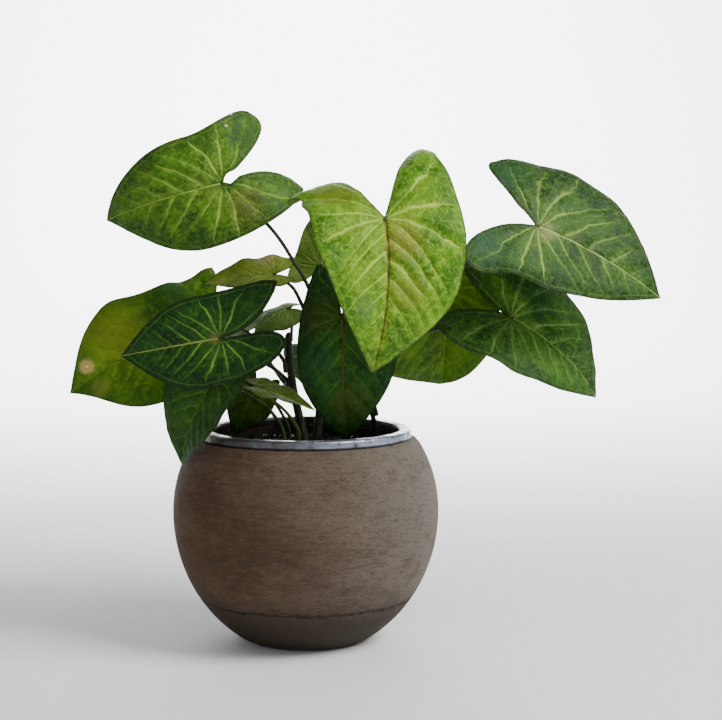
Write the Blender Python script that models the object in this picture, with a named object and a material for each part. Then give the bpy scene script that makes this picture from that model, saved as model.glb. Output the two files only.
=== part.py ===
"""Arrowhead plant in a round clay pot with a metal lip band.

The pot stands on its flat base at the origin, X to the right, Z up.
Every driving size is in millimetres and becomes metres when a mesh is made.
"""

import math

import bmesh
import bpy
import numpy as np
from mathutils import Vector
from mathutils.geometry import delaunay_2d_cdt

MM = 0.001

# Pot
POT_RADIUS = 81.0
POT_CENTRE_Z = 79.3
POT_UPPER_HALF_HEIGHT = 80.4
POT_LOWER_HALF_HEIGHT = 88.8
POT_BASE_EDGE = 1.6
POT_SHOULDER_Z = 122.4
POT_TOP_Z = 123.8
POT_MOUTH_RADIUS = 57.0
POT_WALL = 6.0
POT_FLOOR = 8.0
POT_SIDES = 48
HOLLOW_HEIGHTS = [13.0, 24.0, 40.0, 58.0, 76.0, 92.0, 104.0, 112.0, 119.0]
FOOT_LINE_Z = 28.0
FOOT_LINE_DEPTH = 0.7
FOOT_LINE_HALF_WIDTH = 1.0

# Lip band
RIM_OUTER_RADIUS = 64.5
RIM_INNER_RADIUS = 57.0
RIM_BOTTOM_Z = 124.15
RIM_TOP_Z = 129.4
RIM_ROUNDING = 1.8

# Soil
SOIL_GAP = 0.4
SOIL_EDGE_Z = 118.4
SOIL_CROWN = 3.0
HOLE_GAP = 0.4
HOLE_FLOOR_Z = 100.4
STEM_FOOT_Z = 101.8

# Stems
STEM_SIDES = 10
STALK_SIDES = 8
SIDE_GAP = 0.45

# Leaves
BLADE_THICKNESS = 0.8
OUTLINE_STEP = 6.2
INNER_STEP = 9.0
JOINT_SETBACK = 0.02


# Materials


def material(name, colour, roughness, metallic=0.0):
    """A plain Principled material for one object."""
    mat = bpy.data.materials.new(name)
    mat.use_nodes = True
    shader = mat.node_tree.nodes["Principled BSDF"]
    shader.inputs["Base Color"].default_value = (*colour, 1.0)
    shader.inputs["Roughness"].default_value = roughness
    shader.inputs["Metallic"].default_value = metallic
    mat.diffuse_color = (*colour, 1.0)
    return mat


def add_object(name, verts, faces, colour, roughness, metallic=0.0, smooth=True):
    """Make one mesh object from millimetre vertices."""
    mesh = bpy.data.meshes.new(name)
    mesh.from_pydata([tuple(float(c) * MM for c in v) for v in verts], [], faces)
    mesh.update()
    obj = bpy.data.objects.new(name, mesh)
    bpy.context.scene.collection.objects.link(obj)
    mesh.materials.append(material(name + "_finish", colour, roughness, metallic))
    face_outward(obj)
    if smooth:
        for polygon in mesh.polygons:
            polygon.use_smooth = True
    return obj


def face_outward(obj):
    """Turn every face of a closed mesh outward and split it into triangles."""
    shape = bmesh.new()
    shape.from_mesh(obj.data)
    bmesh.ops.recalc_face_normals(shape, faces=shape.faces)
    if shape.calc_volume(signed=True) < 0.0:
        bmesh.ops.reverse_faces(shape, faces=shape.faces)
    bmesh.ops.triangulate(shape, faces=shape.faces)
    shape.to_mesh(obj.data)
    shape.free()
    obj.data.update()


# Turned pieces


def turned(name, profile, sides, colour, roughness, metallic=0.0):
    """Spin a closed profile of (radius, height) pairs about the pot's axis."""
    verts = []
    rows = []
    for radius, height in profile:
        if radius < 1e-6:
            rows.append([len(verts)] * sides)
            verts.append((0.0, 0.0, height))
            continue
        row = []
        for k in range(sides):
            angle = 2.0 * math.pi * k / sides
            row.append(len(verts))
            verts.append((radius * math.cos(angle), radius * math.sin(angle), height))
        rows.append(row)
    faces = []
    closed = profile[0][0] > 1e-6 or profile[-1][0] > 1e-6
    pairs = list(zip(rows, rows[1:]))
    if closed:
        pairs.append((rows[-1], rows[0]))
    for low, high in pairs:
        for k in range(sides):
            m = (k + 1) % sides
            corners = [low[k], low[m], high[m], high[k]]
            faces.append(tuple(dict.fromkeys(corners)))
    return add_object(name, verts, faces, colour, roughness, metallic)


def pot_outer_radius(z):
    """Radius of the pot's body at a height."""
    above = z - POT_CENTRE_Z
    half_height = POT_UPPER_HALF_HEIGHT if above > 0.0 else POT_LOWER_HALF_HEIGHT
    return POT_RADIUS * math.sqrt(max(0.0, 1.0 - (above / half_height) ** 2))


def pot_inner_radius(z):
    """Radius of the hollow, which narrows to the mouth near the top."""
    body = pot_outer_radius(z) - POT_WALL
    neck_start = 102.0
    neck_end = 118.0
    share = min(1.0, max(0.0, (z - neck_start) / (neck_end - neck_start)))
    share = share * share * (3.0 - 2.0 * share)
    return body + (POT_MOUTH_RADIUS - body) * share


def pot_profile():
    """Closed section of the pot from the middle of the base round to the floor."""
    profile = [(0.0, 0.0)]
    base_radius = pot_outer_radius(0.0)
    profile.append((base_radius - POT_BASE_EDGE, 0.0))
    profile.append((base_radius + 0.2, 0.5))
    profile.append((pot_outer_radius(2.4), 2.4))
    outer_heights = [6.0, 10.0, 15.0, 21.0]
    for z in outer_heights:
        profile.append((pot_outer_radius(z), z))
    low = FOOT_LINE_Z - FOOT_LINE_HALF_WIDTH
    high = FOOT_LINE_Z + FOOT_LINE_HALF_WIDTH
    profile.append((pot_outer_radius(low), low))
    profile.append((pot_outer_radius(FOOT_LINE_Z) - FOOT_LINE_DEPTH, FOOT_LINE_Z))
    profile.append((pot_outer_radius(high), high))
    outer_heights = [38.0, 49.0, 61.0, 73.0, 85.0, 96.0, 106.0, 114.0, 119.5]
    for z in outer_heights:
        profile.append((pot_outer_radius(z), z))
    shoulder = pot_outer_radius(POT_SHOULDER_Z)
    profile.append((shoulder - 0.5, POT_SHOULDER_Z))
    profile.append((shoulder - 1.6, POT_TOP_Z - 0.4))
    profile.append((RIM_OUTER_RADIUS + 0.4, POT_TOP_Z))
    profile.append((POT_MOUTH_RADIUS, POT_TOP_Z))
    for z in reversed(HOLLOW_HEIGHTS):
        profile.append((pot_inner_radius(z), z))
    profile.append((pot_inner_radius(POT_FLOOR) - 4.0, POT_FLOOR))
    profile.append((0.0, POT_FLOOR))
    return profile


def rim_profile():
    """Section of the lip band with rounded upper edges."""
    profile = [(RIM_OUTER_RADIUS - 0.6, RIM_BOTTOM_Z)]
    profile.append((RIM_OUTER_RADIUS, RIM_BOTTOM_Z + 0.8))
    steps = 3
    for k in range(steps + 1):
        angle = 0.5 * math.pi * k / steps
        radius = RIM_OUTER_RADIUS - RIM_ROUNDING + RIM_ROUNDING * math.cos(angle)
        height = RIM_TOP_Z - RIM_ROUNDING + RIM_ROUNDING * math.sin(angle)
        profile.append((radius, height))
    for k in range(steps + 1):
        angle = 0.5 * math.pi + 0.5 * math.pi * k / steps
        radius = RIM_INNER_RADIUS + RIM_ROUNDING + RIM_ROUNDING * math.cos(angle)
        height = RIM_TOP_Z - RIM_ROUNDING + RIM_ROUNDING * math.sin(angle)
        profile.append((radius, height))
    profile.append((RIM_INNER_RADIUS, RIM_BOTTOM_Z))
    return profile


def soil_height(radius):
    """Height of the mounded soil surface at a distance from the axis."""
    share = min(1.0, radius / (POT_MOUTH_RADIUS - SOIL_GAP))
    return SOIL_EDGE_Z + SOIL_CROWN * (1.0 - share * share)


def soil_profile():
    """Soil fills the pot, a fraction of a millimetre clear of the wall."""
    profile = [(0.0, POT_FLOOR + SOIL_GAP)]
    profile.append((pot_inner_radius(POT_FLOOR) - 4.4, POT_FLOOR + SOIL_GAP))
    for z in HOLLOW_HEIGHTS[:-1]:
        profile.append((pot_inner_radius(z) - SOIL_GAP - 0.15, z))
    edge = POT_MOUTH_RADIUS - SOIL_GAP
    profile.append((edge - 0.1, 117.0))
    for radius in [edge - 0.8, 46.0, 34.0, 20.0]:
        profile.append((radius, soil_height(radius)))
    profile.append((0.0, soil_height(0.0)))
    return profile


# Tubes for stems and stalks


def smooth_path(points, count):
    """Even samples of a Catmull-Rom curve through the given points."""
    pts = [np.array(p, float) for p in points]
    ends = [2.0 * pts[0] - pts[1]] + pts + [2.0 * pts[-1] - pts[-2]]
    dense = []
    for k in range(1, len(ends) - 2):
        a, b, c, d = ends[k - 1], ends[k], ends[k + 1], ends[k + 2]
        for t in np.linspace(0.0, 1.0, 24, endpoint=False):
            value = 2.0 * b + (c - a) * t + (2.0 * a - 5.0 * b + 4.0 * c - d) * t ** 2
            value = value + (3.0 * b - a - 3.0 * c + d) * t ** 3
            dense.append(0.5 * value)
    dense.append(pts[-1])
    dense = np.array(dense)
    lengths = np.concatenate([[0.0], np.cumsum(np.linalg.norm(np.diff(dense, axis=0), axis=1))])
    wanted = np.linspace(0.0, lengths[-1], count)
    return np.stack([np.interp(wanted, lengths, dense[:, i]) for i in range(3)], axis=1)


def tube(path, radii, sides):
    """Closed tube round a path, with slightly domed ends."""
    tangents = np.gradient(path, axis=0)
    tangents = tangents / np.linalg.norm(tangents, axis=1)[:, None]
    helper = np.array([0.0, 1.0, 0.0]) if abs(tangents[0][1]) < 0.8 else np.array([1.0, 0.0, 0.0])
    across = np.cross(tangents[0], helper)
    across = across / np.linalg.norm(across)
    verts = []
    rings = []
    for point, tangent, radius in zip(path, tangents, radii):
        across = across - tangent * np.dot(across, tangent)
        across = across / np.linalg.norm(across)
        other = np.cross(tangent, across)
        ring = []
        for k in range(sides):
            angle = 2.0 * math.pi * k / sides
            ring.append(len(verts))
            verts.append(point + radius * (math.cos(angle) * across + math.sin(angle) * other))
        rings.append(ring)
    faces = []
    for low, high in zip(rings, rings[1:]):
        for k in range(sides):
            m = (k + 1) % sides
            faces.append((low[k], low[m], high[m]))
            faces.append((low[k], high[m], high[k]))
    for ring, point, tangent, radius, way in (
        (rings[0], path[0], tangents[0], radii[0], -1.0),
        (rings[-1], path[-1], tangents[-1], radii[-1], 1.0),
    ):
        tip = len(verts)
        verts.append(point + way * tangent * radius * 0.35)
        for k in range(sides):
            m = (k + 1) % sides
            faces.append((ring[k], ring[m], tip) if way > 0.0 else (ring[m], ring[k], tip))
    return verts, faces


# Stems that carry the leaves: points from the foot up, and the radius at both ends

STEMS = {
    "stem_centre": dict(
        points=[(7, 12, STEM_FOOT_Z), (7, 12, 112), (7, 12, 122), (9, 12, 150), (7, 6, 182), (4, 0, 206)],
        radii=(2.7, 2.2),
        colour=(0.035, 0.045, 0.02),
    ),
    "stem_left": dict(
        points=[(-1, 2, STEM_FOOT_Z), (-1, 2, 112), (-1, 2, 122), (-7, 1, 150), (-10, -1, 172), (-10.5, -4, 188)],
        radii=(2.8, 2.3),
        colour=(0.03, 0.04, 0.02),
    ),
    "stem_right": dict(
        points=[(44, 22, STEM_FOOT_Z), (44, 22, 112), (44, 22, 122), (41, 18, 137), (37, 10, 156), (37, 5, 176)],
        radii=(1.6, 1.5),
        colour=(0.035, 0.05, 0.025),
    ),
}


def stem_path(name, count=14):
    return smooth_path(STEMS[name]["points"], count)


def stem_place(name, height, toward):
    """Where a stalk's foot stands beside a stem, and the stem's direction there."""
    path = stem_path(name, 120)
    radii = np.linspace(*STEMS[name]["radii"], 120)
    index = int(np.argmin(np.abs(path[:, 2] - height)))
    tangent = path[min(index + 1, 119)] - path[max(index - 1, 0)]
    tangent = tangent / np.linalg.norm(tangent)
    aside = np.array([math.cos(math.radians(toward)), math.sin(math.radians(toward)), 0.0])
    aside = aside - tangent * np.dot(aside, tangent)
    aside = aside / np.linalg.norm(aside)
    return path[index], radii[index], tangent, aside


# Leaf blades


class Half:
    """One half of a blade, seen from the midrib outward.

    width: greatest half width, belly: how far before the joint it lies,
    lobe: length of the basal lobe, spread: its angle from straight back,
    full: roundness of the lobe, sinus: angle of the notch beside the joint,
    lift: rise of the half from the midrib, curl: bend along the half.
    """

    def __init__(self, width, belly, lobe, spread=36, full=62, sinus=20, lift=8, curl=-12):
        self.width = width
        self.belly = belly
        self.lobe = lobe
        self.spread = math.radians(spread)
        self.full = math.radians(full)
        self.sinus = math.radians(sinus)
        self.lift = math.radians(lift)
        self.curl = math.radians(curl)


def bezier(p0, p1, p2, p3, count):
    t = np.linspace(0.0, 1.0, count)[:, None]
    return (1 - t) ** 3 * p0 + 3 * (1 - t) ** 2 * t * p1 + 3 * (1 - t) * t * t * p2 + t ** 3 * p3


def half_outline(length, half, tip_angle):
    """Margin of one half from the tip, round the lobe, to the notch."""
    tip = np.array([length, 0.0])
    belly = np.array([half.belly, half.width])
    axis = np.array([-math.cos(half.spread), math.sin(half.spread)])
    end = half.lobe * axis
    notch = np.array([-JOINT_SETBACK * length, 0.0])
    tip_angle = math.radians(tip_angle)

    def turned_back(angle):
        c, s = math.cos(angle), math.sin(angle)
        return np.array([-axis[0] * c + axis[1] * s, -axis[0] * s - axis[1] * c])

    outward, inward = turned_back(half.full), turned_back(-half.full)
    if outward[1] < inward[1]:
        outward, inward = inward, outward
    front = np.linalg.norm(tip - belly)
    side = np.linalg.norm(end - belly)
    from_tip = tip + 0.33 * front * np.array([-math.cos(tip_angle), math.sin(tip_angle)])
    to_belly = belly + np.array([0.42 * (length - half.belly), 0.0])
    parts = [bezier(tip, from_tip, to_belly, belly, 60)]
    off_belly = belly - np.array([0.40 * side, 0.0])
    parts.append(bezier(belly, off_belly, end + 0.315 * half.lobe * outward, end, 60)[1:])
    at_notch = notch + 0.35 * half.lobe * np.array([-math.cos(half.sinus), math.sin(half.sinus)])
    parts.append(bezier(end, end + 0.315 * half.lobe * inward, at_notch, notch, 60)[1:])
    return np.vstack(parts)


def resampled(curve, step, corners):
    """Points along a curve about one step apart, keeping the sharp corners."""
    lengths = np.concatenate([[0.0], np.cumsum(np.linalg.norm(np.diff(curve, axis=0), axis=1))])
    stops = [0.0] + [lengths[c] for c in corners] + [lengths[-1]]
    wanted = []
    for low, high in zip(stops, stops[1:]):
        count = max(2, int(round((high - low) / step)))
        wanted.extend(np.linspace(low, high, count, endpoint=False))
    wanted.append(lengths[-1])
    return np.stack([np.interp(wanted, lengths, curve[:, i]) for i in range(2)], axis=1)


def signed_distance_ok(points, loop, clearance):
    """Which points lie inside the loop and at least the clearance from it."""
    following = np.roll(loop, -1, axis=0)
    edge = following - loop
    away = points[:, None, :] - loop[None]
    t = np.clip((away * edge).sum(-1) / np.maximum((edge * edge).sum(-1), 1e-9), 0.0, 1.0)
    gap = np.linalg.norm(away - t[..., None] * edge[None], axis=2).min(axis=1)
    above = loop[None, :, 1] > points[:, None, 1]
    next_above = following[None, :, 1] > points[:, None, 1]
    rise = np.where(np.abs(edge[:, 1]) < 1e-12, 1e-12, edge[:, 1])
    cross_x = loop[None, :, 0] + (points[:, None, 1] - loop[None, :, 1]) / rise * edge[None, :, 0]
    crossings = ((above != next_above) & (points[:, None, 0] < cross_x)).sum(axis=1)
    return (crossings % 2 == 1) & (gap > clearance)


def flat_blade(leaf, outline_step, inner_step):
    """Triangulated flat blade: midrib on the x axis, tip ahead, joint at zero."""
    length = leaf["length"]
    tip_angle = leaf.get("tip_angle", 38)
    left = resampled(half_outline(length, leaf["left"], tip_angle), outline_step, [59, 118])
    right = resampled(half_outline(length, leaf["right"], tip_angle), outline_step, [59, 118])
    right = right * np.array([1.0, -1.0])
    loop = np.vstack([left, right[::-1][1:-1]])
    midrib_count = max(4, int(round(length / inner_step)))
    midrib = np.stack([np.linspace(left[-1][0], length, midrib_count + 1)[1:-1], np.zeros(midrib_count - 1)], 1)
    row_step = inner_step * math.sqrt(3.0) / 2.0
    low, high = loop.min(axis=0), loop.max(axis=0)
    lattice = []
    row = 1
    while row * row_step < max(-low[1], high[1]):
        shift = 0.5 * inner_step * (row % 2)
        xs = np.arange(low[0] - inner_step, high[0] + inner_step, inner_step) + shift
        for sign in (1.0, -1.0):
            lattice.append(np.stack([xs, np.full(len(xs), sign * row * row_step)], axis=1))
        row += 1
    lattice = np.vstack(lattice)
    lattice = lattice[signed_distance_ok(lattice, loop, 0.55 * min(outline_step, inner_step))]
    points = np.vstack([loop, midrib, lattice])
    count = len(loop)
    edges = [(k, (k + 1) % count) for k in range(count)]
    chain = [len(left) - 1] + list(range(count, count + len(midrib))) + [0]
    edges += list(zip(chain, chain[1:]))
    made = delaunay_2d_cdt([Vector(p) for p in points], edges, [list(range(count))], 1, 1e-5)
    return np.array([tuple(v) for v in made[0]]), [tuple(f) for f in made[2]]


def bent(flat, leaf):
    """Bend flat blade points: midrib arc, raised halves, rolled sides, twist and ripples."""
    x, y = flat[:, 0], flat[:, 1]
    length = leaf["length"]
    left, right = leaf["left"], leaf["right"]
    ahead = math.radians(leaf.get("droop", 30)) / length
    behind = math.radians(leaf.get("lobe_droop", 10)) / (0.5 * length)
    bend = np.where(x > 0.0, ahead, behind)
    bend = np.where(np.abs(bend) < 1e-7, 1e-7, bend)
    angle = bend * np.abs(x)
    mid_x = np.sin(angle) / bend * np.sign(x)
    mid_z = -(1.0 - np.cos(angle)) / bend
    slope = -angle * np.sign(x)
    side = np.where(y >= 0.0, 1.0, -1.0)
    lift = np.where(y >= 0.0, left.lift, right.lift)
    curl = np.where(y >= 0.0, left.curl, right.curl) / (0.45 * length)
    curl = np.where(np.abs(curl) < 1e-7, 1e-7, curl)
    reach = np.abs(y)
    out = (np.sin(lift + curl * reach) - np.sin(lift)) / curl
    rise = -(np.cos(lift + curl * reach) - np.cos(lift)) / curl
    width = np.where(y >= 0.0, left.width, right.width)
    wave = leaf.get("wave", 1.2) * np.minimum(1.5, (reach / width)) ** 2
    phase = leaf.get("phase", 0.0) + np.where(y >= 0.0, 0.0, 1.9)
    rise = rise + wave * np.sin(2.0 * math.pi * x / (0.42 * length) + phase)
    twist = math.radians(leaf.get("twist", 0)) * x / length
    across = out * side * np.cos(twist) - rise * np.sin(twist)
    up = out * side * np.sin(twist) + rise * np.cos(twist)
    return np.stack([mid_x - np.sin(slope) * up, across, mid_z + np.cos(slope) * up], axis=1)


def leaf_axes(leaf):
    """Directions of the tip, the left side and the upper face."""
    heading, pitch, roll = (math.radians(leaf[k]) for k in ("heading", "pitch", "roll"))
    tip = np.array([math.cos(pitch) * math.cos(heading), math.cos(pitch) * math.sin(heading), math.sin(pitch)])
    level = np.array([-math.sin(heading), math.cos(heading), 0.0])
    left = level * math.cos(roll) + np.cross(tip, level) * math.sin(roll)
    return tip, left, np.cross(tip, left)


def placed(local, leaf):
    tip, left, upper = leaf_axes(leaf)
    origin = np.array(leaf["joint"], float)
    return origin + local[:, [0]] * tip + local[:, [1]] * left + local[:, [2]] * upper


def blade_solid(leaf, outline_step, inner_step, thickness):
    """Closed thin blade with the same triangles on both faces."""
    flat, faces = flat_blade(leaf, outline_step, inner_step)
    middle = bent(flat, leaf)
    h = 0.05
    along = bent(flat + [h, 0.0], leaf) - bent(flat - [h, 0.0], leaf)
    across = bent(flat + [0.0, h], leaf) - bent(flat - [0.0, h], leaf)
    normal = np.cross(along, across)
    normal = normal / np.linalg.norm(normal, axis=1)[:, None]
    top = placed(middle + 0.5 * thickness * normal, leaf)
    bottom = placed(middle - 0.5 * thickness * normal, leaf)
    count = len(flat)
    verts = list(top) + list(bottom)
    upper = []
    for face in faces:
        a, b, c = (flat[i] for i in face)
        turn = (b[0] - a[0]) * (c[1] - a[1]) - (b[1] - a[1]) * (c[0] - a[0])
        upper.append(tuple(face) if turn > 0.0 else tuple(reversed(face)))
    solid = list(upper) + [tuple(i + count for i in reversed(f)) for f in upper]
    used = {}
    for face in upper:
        for a, b in zip(face, face[1:] + face[:1]):
            used[(a, b)] = True
    for a, b in used:
        if (b, a) not in used:
            solid.append((b, a, a + count))
            solid.append((b, a + count, b + count))
    return verts, solid


def stalk_path(leaf, count):
    """Stalk from its foot, past its bends, up to the leaf's joint from below."""
    tip, left, upper = leaf_axes(leaf)
    joint = np.array(leaf["joint"], float)
    slant = math.radians(leaf.get("arrive", 60))
    arrive = tip * math.cos(slant) + upper * math.sin(slant)
    radius = leaf.get("stalk_radius", 1.3)
    if "soil" in leaf:
        x, y = leaf["soil"]
        points = [np.array([x, y, STEM_FOOT_Z]), np.array([x, y, 114.0]), np.array([x, y, 122.0])]
    else:
        stem, height, toward = leaf["beside"]
        centre, stem_radius, along, aside = stem_place(stem, height, toward)
        foot = centre + aside * (stem_radius + radius + SIDE_GAP)
        rise = leaf.get("sheath", 8.0)
        points = [foot, foot + along * rise * 0.5 + aside * 0.15, foot + along * rise + aside * 0.8]
    points += [np.array(p, float) for p in leaf.get("via", [])]
    near = leaf.get("approach", 9.0)
    points += [joint - arrive * near, joint - arrive * 0.45 * near, joint + upper * 0.25 + tip * 0.4]
    return smooth_path(points, count)


def leaf_object(name, leaf):
    """One leaf: blade and stalk joined into a single solid."""
    verts, faces = blade_solid(leaf, OUTLINE_STEP, INNER_STEP, BLADE_THICKNESS)
    blade = add_object(name, verts, faces, leaf["colour"], leaf.get("roughness", 0.42))
    base = leaf.get("stalk_radius", 1.3)
    count = leaf.get("stalk_rings", 13)
    radii = np.linspace(base, 0.82 * base, count)
    verts, faces = tube(stalk_path(leaf, count), radii, STALK_SIDES)
    stalk = add_object(name + "_stalk", verts, faces, leaf["colour"], 0.5)
    join = blade.modifiers.new("join", "BOOLEAN")
    join.operation = "UNION"
    join.solver = "EXACT"
    join.object = stalk
    bpy.context.view_layer.update()
    graph = bpy.context.evaluated_depsgraph_get()
    joined = bpy.data.meshes.new_from_object(blade.evaluated_get(graph))
    blade.modifiers.clear()
    old = blade.data
    blade.data = joined
    bpy.data.meshes.remove(old)
    finish = stalk.data.materials[0]
    bpy.data.objects.remove(stalk)
    bpy.data.materials.remove(finish)
    while len(blade.data.materials) > 1:
        blade.data.materials.pop(index=len(blade.data.materials) - 1)
    for polygon in blade.data.polygons:
        polygon.material_index = 0
    weld(blade)
    face_outward(blade)
    return blade


def weld(obj):
    """Remove doubled points and needle edges left by joining."""
    shape = bmesh.new()
    shape.from_mesh(obj.data)
    bmesh.ops.remove_doubles(shape, verts=shape.verts, dist=0.00004)
    bmesh.ops.dissolve_degenerate(shape, edges=shape.edges, dist=0.00002)
    shape.to_mesh(obj.data)
    shape.free()


# The leaves, named by where they stand: joint in the pot's frame, tip direction by
# heading, pitch and roll, and the two halves of the blade

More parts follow.
